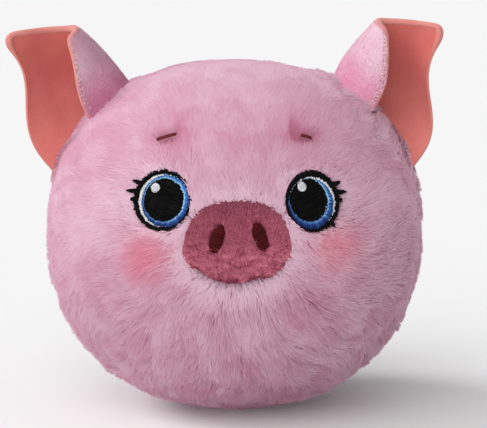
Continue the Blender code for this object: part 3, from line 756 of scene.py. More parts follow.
def napped_cloth(name, colours, lit_foot_colours=None, nap_size=0.35 * MM, mottle_size=7.0 * MM):
    """Brushed polyester jersey: matt and even, with a very short nap that lights up at
    grazing angles and a faint unevenness of the dye. It can fade to paler colours lower
    down, which is painted light, as the lamps reach the lower part more."""
    material = bpy.data.materials.new(name)
    material.use_nodes = True
    tree = material.node_tree
    shader = tree.nodes["Principled BSDF"]
    shader.inputs["Roughness"].default_value = 0.85
    shader.inputs["Specular IOR Level"].default_value = 0.2
    shader.inputs["Sheen Weight"].default_value = 0.25
    shader.inputs["Sheen Roughness"].default_value = 0.45
    place = add_node(tree, "ShaderNodeTexCoord")
    nap = add_node(tree, "ShaderNodeTexNoise", {"Vector": place.outputs["Object"],
                                                "Scale": 1 / nap_size, "Detail": 4.0,
                                                "Roughness": 0.7})
    mottle = add_node(tree, "ShaderNodeTexNoise", {"Vector": place.outputs["Object"],
                                                   "Scale": 1 / mottle_size, "Detail": 3.0})
    both = add_node(tree, "ShaderNodeMix", {"Factor": 0.45, "A": nap.outputs["Fac"],
                                            "B": mottle.outputs["Fac"]}, data_type="FLOAT")
    share = add_node(tree, "ShaderNodeMapRange", {"Value": both.outputs["Result"],
                                                  "From Min": 0.3, "From Max": 0.7})
    tint = add_node(tree, "ShaderNodeMix", {"Factor": share.outputs["Result"],
                                            "A": linear(colours[0]), "B": linear(colours[1])},
                    data_type="RGBA")
    # Painted light: paler colours towards the bottom of the piece.
    if lit_foot_colours:
        foot = add_node(tree, "ShaderNodeMix", {"Factor": share.outputs["Result"],
                                                "A": linear(lit_foot_colours[0]),
                                                "B": linear(lit_foot_colours[1])}, data_type="RGBA")
        spot = add_node(tree, "ShaderNodeSeparateXYZ", {"Vector": place.outputs["Object"]})
        fade = add_node(tree, "ShaderNodeMapRange", {"Value": spot.outputs["Z"],
                                                     "From Min": lining_light_fade[0] * MM,
                                                     "From Max": lining_light_fade[1] * MM})
        tint = add_node(tree, "ShaderNodeMix", {"Factor": fade.outputs["Result"],
                                                "A": foot.outputs["Result"],
                                                "B": tint.outputs["Result"]}, data_type="RGBA")
    tree.links.new(tint.outputs["Result"], shader.inputs["Base Color"])
    bump = add_node(tree, "ShaderNodeBump", {"Height": nap.outputs["Fac"], "Strength": 0.5,
                                             "Distance": 0.12 * MM})
    tree.links.new(bump.outputs["Normal"], shader.inputs["Normal"])
    return material


pink_cloth = napped_cloth("pink_short_plush", ("BE7E96", "CE96AB"))
coral_lining = napped_cloth("coral_lining", lining_colours, lining_lit_foot_colours)
coral_rim = napped_cloth("rolled_coral_edge", rim_colours)
seam_thread = thread_paint("seam_thread", *[("B4707E", "F0CDD0")] * 3)
ear_pile_material = pile_paint("ear_pile", ear_pile_colours, ear_foot_shade_colours)
ears = {}
ear_feet = []
for word, side in (("left", 1), ("right", -1)):
    cage, foot, hinge = ear_cage(word, side)
    ears[word] = (cage, side)
    for along in (0.6, 0.8, 1.0):
        line = ear_spots(cage, side, np.linspace(0.1, 3.8, 24), np.full(24, along))[0]
        ear_feet.append(body_point(unit(line - body_centre)))
    plush = ear_layer(f"{word}_ear_plush_cloth", word, cage, side, -ear_gap - plush_thickness,
                      -ear_gap, pink_cloth)
    lining = ear_layer(f"{word}_ear_lining_cloth", word, cage, side, ear_gap,
                       ear_gap + lining_thickness, coral_lining)
    rim = ear_rim(f"{word}_ear_rolled_edge", word, cage, side, coral_rim)
    pile = ear_pile(f"{word}_ear_pile", word, cage, side, ear_pile_material, 130 + side)
    dots = ear_dots(f"{word}_ear_seam_stitches", word, cage, side, seam_thread, 140 + side)
    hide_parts(f"{word}_ear_plush", f"{word}_ear_root")
    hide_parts(f"{word}_ear_lining")
    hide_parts(f"{word}_ear_edge_thread")
    for piece, slot in ((plush, "pink_plush"), (lining, "coral_lining"), (rim, "edge_thread"),
                        (pile, "pink_plush"), (dots, "edge_thread")):
        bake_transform(piece)


# The cover: a face panel and two back panels of long-pile plush, sewn right sides together
# and turned. Each is a knitted ground cloth whose pile stands up from it in soft locks.

cover_depth = 5.6 * MM
cover_thickness = 1.2 * MM
face_cover_depth = 2.6 * MM
seam_back = 5.0 * MM
snout_up_angle = math.radians(5.0)
face_forward = np.array([0.0, -math.cos(snout_up_angle), math.sin(snout_up_angle)])
face_upward = np.array([0.0, math.sin(snout_up_angle), math.cos(snout_up_angle)])
snout_half = np.array([13.6, 10.9]) * MM
snout_top_squareness = 2.2
snout_bottom_squareness = 2.0
snout_taper_share = 0.02
# Each bump's angle round the outline and its width, in degrees, and its share of the radius.
snout_bumps = ((-62.0, 34.0, -0.075), (-130.0, 24.0, -0.035), (150.0, 24.0, -0.040))
eye_radius = 7.5 * MM
disc_thickness = 1.0 * MM
iris_inward = 0.35 * MM
pile_colours = ("B06982", "BE8299", "C597AB", "D0AEBE")
blush_colours = ("A2435E", "C6657E", "D27D92", "DA9CAA")
# Each blush: its side, strength, and place across and up from the snout in mm.
blush_spots = ((-1, 0.95, 25.5, -3.5), (1, 1.0, 28.5, -0.5))
blush_radius = 6.5 * MM
ground_colours = ("CDA5B5", "B9879C")
ground_loop_pitch = 0.8 * MM
clump_count = 14000
lock_count = 1500
lock_half_width = 3.2 * MM
lock_length = 8.0 * MM
pile_length = 6.4 * MM
shortest_pile, longest_pile = 4.0 * MM, 12.0 * MM
lowest_pile, highest_pile = -2.4 * MM, 1.9 * MM
ear_fringe_width = 5.0 * MM
strands_in_front = 150000
strands_at_back = 102000
ball_over_front, ball_over_back = 1.85, 2.2
strand_width = 0.17 * MM
undercoat_share = 0.34
pile_softness = 0.92
# A brow's slot is kept free of strands: its shift and half length in mm, then what both share.
brow_slots = {"left": (0.2, 1.5), "right": (0.0, 2.7)}
brow_slot_lean, brow_slot_half_height = 0.36, 0.55
brow_dimple_half, brow_dimple_depth = np.array([4.4, 2.2]) * MM, 1.5 * MM
brow_crease_half, brow_crease_middle = np.array([1.3, 2.6]) * MM, np.array([-2.4, 2.3]) * MM
brow_crease_depths = {"left": 2.4 * MM, "right": 0.5 * MM}
brow_side_depth = 15.0 * MM


def node_place(node, above=0.0, beside=0.0, lies_on_body=False):
    """Where a flat CAD piece lies: a spot above and beside its middle, and its across, up and
    outward directions. Outward is the direction in which its points spread least, or the
    body's own for a piece that lies on it."""
    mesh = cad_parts[node].data
    points = np.empty(len(mesh.vertices) * 3, np.float32)
    mesh.vertices.foreach_get("co", points)
    points = np.unique(np.round(points.reshape(-1, 3).astype(float), 7), axis=0)
    middle = (points.max(0) + points.min(0)) / 2
    outward = np.linalg.svd(points - points.mean(0), full_matrices=False)[2][2]
    outward *= np.sign(outward @ (middle - body_centre))
    if lies_on_body:
        outward = body_normal(middle)
    across = unit(np.cross(face_upward, outward))
    spot = middle + outward * above + across * beside
    return spot, across, np.cross(outward, across), outward


def face_point(across, rise):
    """The body's surface point under a place on the plane that touches it at the snout."""
    aims = (face_forward * body_half[1] + np.asarray(across)[..., None] * [1.0, 0.0, 0.0]
            + np.asarray(rise)[..., None] * face_upward)
    return body_point(unit(aims))


def snout_outline(angle, grow=0.0):
    """Half width and half height of the snout round its middle: squarish above, and a soft
    point below between two flatter stretches. Each bump is a bell curve of the angle."""
    rise = np.sin(angle)
    across = np.cos(angle)
    power = np.where(rise > 0, snout_top_squareness, snout_bottom_squareness)
    length = (np.abs(across) ** power + np.abs(rise) ** power) ** (-1 / power)
    for at, wide, amount in snout_bumps:
        apart = np.angle(np.exp(1j * (angle - math.radians(at)))) / math.radians(wide)
        length = length * (1 + amount * np.exp(-apart ** 2))
    rise = rise * length
    across = across * length * (1 - snout_taper_share * rise)
    return across * (snout_half[0] + grow), rise * (snout_half[1] + grow)


snout_middle = face_point(0.0, 0.0)
snout_out = body_normal(snout_middle)
snout_across = np.array([1.0, 0.0, 0.0])
snout_up = np.cross(snout_out, snout_across)
eye_places = {word: node_place(f"{word}_eye_iris_ring", disc_thickness / 2, side * iris_inward)
              for word, side in (("left", 1), ("right", -1))}
brow_places = {word: node_place(f"{word}_brow_stitch", lies_on_body=True)
               for word in ("left", "right")}


def snout_distance(points):
    """How far points lie outside the snout's outline, measured along its face."""
    flat = (points - snout_middle) @ np.stack([snout_across, snout_up], 1)
    edge = np.stack(snout_outline(np.arctan2(flat[..., 1], flat[..., 0])), -1)
    behind = (points - snout_middle) @ snout_out < -25 * MM
    return np.where(behind, 1.0, np.linalg.norm(flat, axis=-1) - np.linalg.norm(edge, axis=-1))


def disc_distance(points, place, radius):
    """How far points lie outside a flat disc of that radius, measured from its middle."""
    return np.linalg.norm(points - place[0], axis=-1) - radius


def face_clearance(points):
    """Distance to the nearest piece that is let into the face."""
    near = [snout_distance(points)]
    near += [disc_distance(points, place, eye_radius) for place in eye_places.values()]
    return np.minimum.reduce(near)


def ground_depth(points):
    """How deep the ground cloth lies under the tips: full in the pile, shallow at the face."""
    share = smooth_step(face_clearance(points), -1 * MM, 6 * MM)
    return face_cover_depth + (cover_depth - face_cover_depth) * share


def seam_polar(turn):
    """Polar angle from the snout at which the body's surface reaches the side seam, found
    by halving the range for every turn at once."""
    low = np.full(turn.shape, np.pi / 2)
    high = np.full(turn.shape, np.pi * 0.7)
    for _ in range(30):
        middle = (low + high) / 2
        aims = np.stack([np.sin(middle) * np.cos(turn), -np.cos(middle),
                         np.sin(middle) * np.sin(turn)], -1)
        beyond = body_point(aims)[..., 1] > seam_back
        high = np.where(beyond, middle, high)
        low = np.where(beyond, low, middle)
    return low


def ground_panel(name, turns, closed, in_front, material):
    """One panel of the ground cloth: a grid of turns round the snout and of shares of the
    way from a pole to the seam, laid on the cloth's outside and inside and joined at its
    edges. The last row is pulled in where the seam turns the cloth inwards."""
    rows = 56
    edge = seam_polar(turns) - (0.004 if in_front else -0.004)
    share = np.linspace(0, 1, rows)[:, None]
    polar = share * edge if in_front else np.pi - share * (np.pi - edge)
    polar = np.maximum(polar, 1e-3) if in_front else np.minimum(polar, np.pi - 1e-3)
    aims = np.stack([np.sin(polar) * np.cos(turns), -np.cos(polar),
                     np.sin(polar) * np.sin(turns)], -1)
    depth = ground_depth(body_point(aims))
    tuck = 0.6 * MM * smooth_step(share, 0.94, 1.0)
    outside = body_point(aims, -depth - tuck)
    inside = body_point(aims, -depth - tuck - cover_thickness)
    columns = len(turns)
    points = np.concatenate([outside.reshape(-1, 3), inside.reshape(-1, 3)])
    index = np.arange(rows * columns).reshape(rows, columns)
    if closed:
        index = np.concatenate([index, index[:, :1]], 1)
    quads = np.stack([index[:-1, :-1], index[1:, :-1], index[1:, 1:], index[:-1, 1:]], -1)
    if not in_front:
        quads = quads[..., ::-1]
    layer = rows * columns
    walls = [index[-1]] if closed else [index[-1], index[:, 0], index[::-1, -1]]
    faces = [quads.reshape(-1, 4), quads.reshape(-1, 4)[:, ::-1] + layer]
    for number, line in enumerate(walls):
        flip = in_front == (number == 0)
        strip = np.stack([line[:-1], line[:-1] + layer, line[1:] + layer, line[1:]], -1)
        faces.append(strip if flip else strip[:, ::-1])
    corners = np.concatenate(faces).ravel()
    return mesh_piece(name, points, corners, np.full(len(corners) // 4, 4), material)


def knitted_ground():
    """Dyed polyester knit under the pile: matt, with fine loops, and dark because the pile
    shades it."""
    material = bpy.data.materials.new("knitted_ground")
    material.use_nodes = True
    tree = material.node_tree
    shader = tree.nodes["Principled BSDF"]
    shader.inputs["Roughness"].default_value = 0.95
    shader.inputs["Specular IOR Level"].default_value = 0.1
    place = add_node(tree, "ShaderNodeTexCoord")
    loops = add_node(tree, "ShaderNodeTexVoronoi", {"Vector": place.outputs["Object"],
                                                    "Scale": 1 / ground_loop_pitch})
    tint = add_node(tree, "ShaderNodeMix", {"Factor": loops.outputs["Distance"],
                                            "A": linear(ground_colours[0]),
                                            "B": linear(ground_colours[1])},
                    data_type="RGBA")
    tree.links.new(tint.outputs["Result"], shader.inputs["Base Color"])
    bump = add_node(tree, "ShaderNodeBump", {"Height": loops.outputs["Distance"],
                                             "Strength": 0.6, "Distance": 0.2 * MM}, invert=True)
    tree.links.new(bump.outputs["Normal"], shader.inputs["Normal"])
    return material


ground = knitted_ground()
whole_turn = np.linspace(0, 2 * np.pi, 112, endpoint=False)
half_turn = np.linspace(-np.pi / 2, np.pi / 2, 57)
seam_turn = 0.006
left_half = np.clip(half_turn, -np.pi / 2 + seam_turn, np.pi / 2 - seam_turn)
covers = {
    "face_panel": ground_panel("face_ground", whole_turn, True, True, ground),
    "left_back_panel": ground_panel("left_back_ground", left_half, False, False, ground),
    "right_back_panel": ground_panel("right_back_ground", left_half + np.pi, False, False, ground),
}
for node, cover in covers.items():
    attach(cover, "body")
    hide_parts(node)


def even_directions(count):
    """Directions spread evenly over a ball along a spiral of golden-angle turns."""
    number = np.arange(count) + 0.5
    height = 1 - 2 * number / count
    turn = number * np.pi * (3 - math.sqrt(5))
    spread = np.sqrt(1 - height ** 2)
    return np.stack([spread * np.cos(turn), height, spread * np.sin(turn)], -1)


def nearest(points, centres, chunk=4000):
    """Index of the nearest centre to each point, worked out in chunks."""
    found = np.empty(len(points), int)
    squares = (centres ** 2).sum(-1)
    for start in range(0, len(points), chunk):
        part = points[start:start + chunk]
        found[start:start + chunk] = np.argmin(squares - 2 * part @ centres.T, axis=1)
    return found


def pile_flow(points, normals):
    """Direction in which the pile lies: away from the snout over the face, parted by the
    eyes on their near sides, turning downward at the back, and wandering by soft noise."""
    away = unit(points - snout_middle)
    down = np.array([0.0, 0.0, -1.0])
    front_share = 1 - smooth_step(points[:, 1], -6 * MM, 16 * MM)
    flow = away + 0.10 * down
    for place in eye_places.values():
        apart = points - place[0]
        facing = 0.5 - 0.5 * (unit(apart) * away).sum(-1, keepdims=True)
        near = np.exp(-(np.linalg.norm(apart, axis=-1) / (11 * MM)) ** 2)[:, None]
        flow = flow + 1.5 * near * facing * unit(apart)
    onward = 0.45 * (1 - smooth_step(points[:, 1], 8 * MM, 34 * MM))[:, None]
    flow = flow * front_share[:, None] + (1 - front_share)[:, None] * (down + onward * away)
    flow -= (flow * normals).sum(-1, keepdims=True) * normals
    flow = unit(flow)
    turned = np.cross(normals, flow)
    lower = smooth_step(-points[:, 2], -60 * MM, -25 * MM)
    angle = (math.radians(16) * waves(points, 26 * MM, 21)
             + np.radians(8 + 8 * lower) * waves(points, 11 * MM, 22)
             + np.radians(3 + 4 * lower) * waves(points, 6 * MM, 23))
    return flow * np.cos(angle)[:, None] + turned * np.sin(angle)[:, None]


def dimple(points):
    """How far the pile is pulled in round each brow's stitches: an oval bell curve round them
    and a second one for the crease at their inner end, on the brow's side of the ball."""
    pulled = np.zeros(points.shape[:-1])
    for word, side in (("left", 1), ("right", -1)):
        middle, across, up, outward = brow_places[word]
        apart = points - middle
        flat = np.stack([apart @ across * side, apart @ up], -1)
        round_brow = np.linalg.norm(flat / brow_dimple_half, axis=-1)
        inner_crease = np.linalg.norm((flat - brow_crease_middle) / brow_crease_half, axis=-1)
        on_face = np.abs(apart @ outward) < brow_side_depth
        pulled += brow_dimple_depth * np.exp(-round_brow ** 2) * on_face
        pulled += brow_crease_depths[word] * np.exp(-inner_crease ** 2) * on_face
    return pulled


def pile_guides(count, seed):
    """The middle lines of the pile's small clumps. Clumps that share a lock lean together,
    and a lock is lower at its sides. The pile is short round the let-in pieces, longer and
    shaggier low down, and stands up in lumps at the feet of the ears."""
    rng = np.random.default_rng(seed)
    roots = body_point(even_directions(count))
    roots = body_point(unit(roots + rng.normal(scale=0.35 * MM, size=roots.shape) - body_centre))
    normals = body_normal(roots)
    lock_roots = body_point(even_directions(lock_count))
    lock_of = nearest(roots, lock_roots)
    lower = smooth_step(-roots[:, 2], -52 * MM, -18 * MM)
    left_cheek = smooth_step(-roots[:, 0], -5 * MM, 30 * MM) * lower
    uneven = 1.2 * waves(roots, 20 * MM, 31) + 0.9 * rng.normal(size=count)
    length = (pile_length + uneven * MM) * (1 + 0.45 * lower)
    length = np.clip(length, shortest_pile, longest_pile)
    clearance = face_clearance(roots)
    near = 0.42 + 0.25 * lower
    length *= near + (1 - near) * smooth_step(clearance, 0.3 * MM, 7 * MM)
    flow = pile_flow(roots, normals)
    feet = np.concatenate(ear_feet)
    to_ear = np.linalg.norm(roots - feet[nearest(roots, feet)], axis=-1)
    by_ear = np.exp(-(to_ear / ear_fringe_width) ** 2)
    length *= 1 + 0.4 * by_ear
    middle = roots + flow * length[:, None] / 2
    middle = body_point(unit(middle - body_centre))
    onward = pile_flow(middle, body_normal(middle))
    end = middle + onward * length[:, None] / 2
    lock_flow = pile_flow(lock_roots, body_normal(lock_roots))
    lock_end = lock_roots + lock_flow * lock_length
    together = (0.02 + 0.22 * lower + 0.08 * left_cheek)[:, None]
    end = end * (1 - together) + (lock_end[lock_of]) * together
    apart = np.linalg.norm(roots - lock_roots[lock_of], axis=-1) / lock_half_width
    proud = 0.12 * MM * rng.normal(size=count) + 0.35 * MM * waves(roots, 11 * MM, 33)
    lumps = waves(roots, 5.5 * MM, 37) * np.exp(-(to_ear / (15 * MM)) ** 2) * (roots[:, 0] > 0)
    proud += by_ear * (1.3 + 0.5 * rng.normal(size=count)) * MM + 0.9 * lumps * MM
    proud -= (0.05 + 0.40 * lower) * MM * np.clip(apart, 0, 1.3) ** 2
    drawn = 0.03 + 0.17 * lower + 0.08 * left_cheek + 0.03 * rng.normal(size=count)
    tone = (0.02 + 0.05 * lower) * rng.normal(size=count) + 0.12 * waves(roots, 14 * MM, 34)
    tone += (0.11 + 0.02 * lower) * waves(roots, 5 * MM, 35)
    tone += 0.12 * rng.normal(size=lock_count)[lock_of] * lower
    bright = np.exp(-((clearance - 4 * MM) / (7 * MM)) ** 2) * lower * (roots[:, 1] < 0)
    tone += 0.30 * bright * (0.8 + 0.6 * waves(roots, 4.5 * MM, 36))
    # Painted light: paler pile at the edges of the let-in pieces, where shade would fall, and on
    # the raised lumps by the pig's left ear.
    tone += 0.30 * np.exp(-(clearance / (1.5 * MM)) ** 2) + 0.50 * lumps
    # Painted light round the pig's left ear.
    tone += 0.24 * np.exp(-(to_ear / (14 * MM)) ** 2) * (roots[:, 0] > 0)
    # Painted shade: a darker band across the forehead at the brows, where the face is hollowed.
    brow_shade_band = smooth_step(roots[:, 2], 56 * MM, 68 * MM) * (roots[:, 1] < 0)
    tone -= 0.32 * brow_shade_band * (1 - smooth_step(roots[:, 2], 80 * MM, 90 * MM))
    # Painted light: the pile is paler on the crown, where the lamps fall from above.
    tone += 0.10 * smooth_step(roots[:, 2], 86 * MM, 95 * MM)
    smooth = 1 - smooth_step(-roots[:, 2], -66 * MM, -34 * MM)
    smooth = np.maximum(smooth, np.exp(-(clearance / (2.5 * MM)) ** 2))
    return {"root": roots, "middle": middle, "end": end, "normal": normals, "proud": proud,
            "drawn": np.clip(drawn, 0.0, 0.85), "tone": tone, "smooth": smooth}


def blush_share(points):
    """How far the pile is tinted: a soft rose patch under each eye's outer side."""
    share = np.zeros(len(points))
    for side, strength, across, rise in blush_spots:
        spot = face_point(side * across * MM, rise * MM)
        apart = np.linalg.norm(points - spot, axis=-1) / blush_radius
        share = np.maximum(share, strength * np.exp(-apart ** 2))
    return share


def blocked(points):
    """Whether a strand's tip would lie over a let-in piece by more than a short fringe."""
    hits = snout_distance(points) < -0.3 * MM
    for place in eye_places.values():
        hits |= disc_distance(points, place, eye_radius - 0.45 * MM) < 0
    return hits


def grow_pile(spread_directions, guides, seed):
    """Strands round the guides. A strand keeps its place in the clump at its root, and is
    drawn towards the guide on its way to the tip. It leaves the ground cloth steeply and
    lies down towards the cover's outside: its height is H(1 - (1 - t)^s). The undercoat
    stays lower and strays over the gaps between the clumps."""
    rng = np.random.default_rng(seed)
    roots = body_point(spread_directions)
    roots = roots + rng.normal(scale=0.25 * MM, size=roots.shape)
    roots = body_point(unit(roots - body_centre))
    guide = nearest(roots, guides["root"])
    offset = roots - guides["root"][guide]
    reach = rng.uniform(0.78, 1.08, len(roots))
    start, middle, end = (guides[key][guide] for key in ("root", "middle", "end"))
    drawn = guides["drawn"][guide][:, None, None]

    def path_at(ahead):
        t = ahead[..., None]
        path = (1 - t) ** 2 * start[:, None] + 2 * t * (1 - t) * middle[:, None]
        path = path + t ** 2 * end[:, None]
        return path + offset[:, None] * (1 - drawn * np.clip(t, 0, 1) ** 1.3)

    for share in (1.0, 0.85, 0.7, 0.55, 0.4, 0.28, 0.18):
        tip = path_at((reach * share)[:, None])[:, 0]
        entered = blocked(tip)
        reach = np.where(entered, reach * share * 0.92, reach)
    ahead = strand_rows[None, :] * reach[:, None]
    path = path_at(ahead)
    under = rng.random(len(roots)) < undercoat_share
    stray = np.where(under, 1.7, 0.55 + 0.40 * guides["smooth"][guide])[:, None, None] * MM
    path += stray * rng.normal(size=(len(roots), 1, 3)) * ahead[..., None]
    path += rng.normal(scale=0.12 * MM, size=path.shape) * ahead[..., None]
    depth = ground_depth(roots) - 0.7 * MM
    smooth = guides["smooth"][guide]
    proud = guides["proud"][guide] + (0.14 - 0.10 * smooth) * MM * rng.normal(size=len(roots))
    proud -= (0.50 - 0.32 * smooth) * MM * under
    steepness = (2.8 + 4.2 * smooth)[:, None]
    rise = 1 - np.clip(1 - ahead, 0, 1) ** steepness
    pulled = dimple(path)
    proud = np.clip(proud, lowest_pile, highest_pile)
    height = ((depth + proud)[:, None] - pulled) * rise
    rows = body_point(unit(path - body_centre), height - depth[:, None])
    rows[..., 2] = np.maximum(rows[..., 2], 0.06 * MM)
    return roots, rows, guide, ahead, pulled


pile_material = pile_paint("long_pile", pile_colours, blush_colours)
guides = pile_guides(clump_count, 41)


def dress(rows, guide, ahead, pulled, seed):
    """Sides, widths, tones and rose tint of strands. Where the pile is smooth they are wider and
    their painted root shade is paler, and where it is pulled in they are darker: painted shade in
    the dimples."""
    rng = np.random.default_rng(seed)
    along = unit(rows[:, 3] - rows[:, 0])
    out = body_normal(rows[:, 1])
    roll = rng.uniform(-0.22, 0.22, len(rows))[:, None]
    side = unit(np.cross(along, out))
    side = unit(side * np.cos(roll) + np.cross(along, side) * np.sin(roll))
    sides = np.repeat(side[:, None], 4, 1)
    smooth = guides["smooth"][guide]
    size = rng.uniform(0.75, 1.25, len(rows)) * (1 + 0.75 * smooth) * strand_width
    widths = size[:, None] * np.array([0.75, 1.0, 0.8, 0.0])
    tone = guides["tone"][guide] + (0.08 - 0.04 * smooth) * rng.normal(size=len(rows))
    # Painted shade: tones are darker towards the roots, less so where the pile is smooth.
    base = (0.24 + 0.60 * smooth)[:, None]
    tones = base + (0.94 - base) * np.clip(ahead, 0, 1) + tone[:, None] * (0.4 + 0.6 * ahead)
    # Painted shade: strands are darker where the brows pull the pile in.
    tones -= 0.52 * pulled / MM
    return sides, widths, np.clip(tones, 0.0, 1.0), blush_share(rows[:, 2])


def clear_of_face(roots, rows):
    """Strands that neither start far under a let-in piece nor cross a brow's stitches."""
    keep = snout_distance(roots) > -0.6 * MM
    for place in eye_places.values():
        keep &= disc_distance(roots, place, eye_radius) > 0
    ahead = np.linspace(0, 3, 16)
    before = np.minimum(ahead.astype(int), 2)
    part = (ahead - before)[:, None]
    spots = rows[:, before] * (1 - part) + rows[:, before + 1] * part
    for word, side in (("left", 1), ("right", -1)):
        place = brow_places[word]
        apart = spots - place[0]
        flat = np.stack([apart @ place[1] * side, apart @ place[2]], -1) / MM
        shift, half_length = brow_slots[word]
        slope = flat[..., 1] + brow_slot_lean * (flat[..., 0] - shift)
        across = (flat[..., 0] - shift) / half_length
        behind = np.abs(apart @ place[3]) > brow_side_depth
        keep &= ((np.hypot(across, slope / brow_slot_half_height) > 1) | behind).all(-1)
    return keep & ~blocked(rows[:, 2]) & ~blocked(rows[:, 3])


front_roots = even_directions(int(strands_in_front * ball_over_front))
front_roots = front_roots[body_point(front_roots)[:, 1] < seam_back]
back_roots = even_directions(int(strands_at_back * ball_over_back))
back_roots = back_roots[body_point(back_roots)[:, 1] >= seam_back]
quarters = {"front": ("left_cheek_pile", "forehead_pile", "right_cheek_pile", "chin_pile"),
            "back": ("left_side_pile", "crown_back_pile", "right_side_pile", "rump_pile")}
pile_owners = {"left_side_pile": "left_back_panel", "crown_back_pile": "left_back_panel",
               "right_side_pile": "right_back_panel", "rump_pile": "right_back_panel"}
pile_owners.update((name, "face_panel") for name in quarters["front"])
worn_by = {name: [] for name in covers}
for where, aims, seed in (("front", front_roots, 51), ("back", back_roots, 52)):
    grown = grow_pile(aims, guides, seed)
    keep = clear_of_face(grown[0], grown[1])
    roots, rows, guide, ahead, pulled = (part[keep] for part in grown)
    sides, widths, tones, blush_and_painted_light = dress(rows, guide, ahead, pulled, seed + 10)
    out = body_normal(rows[:, 2])
    turn = np.arctan2(roots[:, 2] - body_centre[2], roots[:, 0])
    quarter = (np.floor((turn + np.pi / 4) / (np.pi / 2)).astype(int)) % 4
    for number, name in enumerate(quarters[where]):
        mine = quarter == number
        piece = strand_piece(name, rows[mine], sides[mine], widths[mine], tones[mine],
                             blush_and_painted_light[mine], pile_material, out[mine], softness=pile_softness)
        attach(piece, "body")
        worn_by[pile_owners[name]].append(piece)


# The snout: an oval of short rose pile over a firm pad, let into the face. Its nostrils are
# two leaning ovals of dark red satin stitch, sewn through the pile.

snout_dome = 3.2 * MM
snout_edge_depth = 2.0 * MM
snout_back_depth = 2.4 * MM
snout_pile_stand = 0.9 * MM
snout_pile_length = 1.7 * MM
snout_pile_inset = 0.9 * MM
snout_strands = 32000
snout_strand_width = 0.165 * MM
snout_pile_softness = 0.35
snout_colours = ("40101E", "602033", "8C3C52", "B26278")
# The paler colours of the pad's lower part are painted light.
snout_lit_low_colours = ("4E0F1E", "7D293D", "A04358", "C97386")
nostril_half = np.array([1.6, 3.55]) * MM
nostril_middles = {1: np.array([5.65, 2.1]) * MM, -1: np.array([-4.85, 1.6]) * MM}
nostril_leans = {1: math.radians(24.0), -1: math.radians(-17.0)}
nostril_colours = ("300406", "520C0E")


def snout_place(flat, out):
    """Points over the snout's plane: its middle, a step across, a step up and one outward."""
    return (snout_middle + flat[..., :1] * snout_across + flat[..., 1:] * snout_up
            + np.asarray(out)[..., None] * snout_out)


def snout_height(flat, grow):
    """Height of the pad's dome over its plane: a half ellipse from edge to edge."""
    scaled = flat / snout_half
    edge = np.stack(snout_outline(np.arctan2(scaled[..., 1], scaled[..., 0])), -1) / snout_half
    spread = np.linalg.norm(scaled, axis=-1) / np.linalg.norm(edge, axis=-1)
    dome = np.sqrt(np.maximum(1 - np.minimum(spread, 1.0) ** 2, 0))
    return dome * (snout_dome + grow) - snout_edge_depth - np.maximum(spread - 1, 0) * 4 * MM


def snout_pad(material):
    """The pad under the pile: rings of the outline that shrink towards a front and a back
    pole by the cosine of the latitude, while its sine gives their depth."""
    rings, segments = 26, 96
    turn = np.linspace(0, 2 * np.pi, segments, endpoint=False)
    latitude = np.linspace(-np.pi / 2, np.pi / 2, rings + 2)[1:-1, None]
    across, rise = snout_outline(turn, -snout_pile_stand)
    flat = np.stack([across, rise], -1) * np.cos(latitude)[..., None]
    depth = np.where(latitude > 0, snout_dome - snout_pile_stand, snout_back_depth)
    out = np.broadcast_to(np.sin(latitude) * depth - snout_edge_depth, flat.shape[:2])
    around = snout_place(flat, out).reshape(-1, 3)
    poles = snout_place(np.zeros((2, 2)), np.array([-snout_back_depth - snout_edge_depth,
                                                    snout_dome - snout_pile_stand
                                                    - snout_edge_depth]))
    here = np.arange(segments)
    after = (here + 1) % segments
    row = np.arange(rings - 1)[:, None] * segments
    above = row + segments
    quads = np.stack([row + here, row + after, above + after, above + here], -1)
    pole = np.full(segments, len(around))
    back = np.stack([pole, after, here], -1)
    last = (rings - 1) * segments
    front = np.stack([last + here, last + after, pole + 1], -1)
    corners = np.concatenate([quads.ravel(), back.ravel(), front.ravel()])
    sizes = np.repeat([4, 3], [last, 2 * segments])
    return mesh_piece("snout_pad_cloth", np.concatenate([around, poles]), corners, sizes, material)


def nostril_flat(flat, side):
    """Place in a nostril's own oval, 1 at its edge, of a place on the snout's plane."""
    turn = nostril_leans[side]
    apart = flat - nostril_middles[side]
    across = apart[..., 0] * math.cos(turn) + apart[..., 1] * math.sin(turn)
    along = -apart[..., 0] * math.sin(turn) + apart[..., 1] * math.cos(turn)
    return np.stack([across, along], -1) / nostril_half


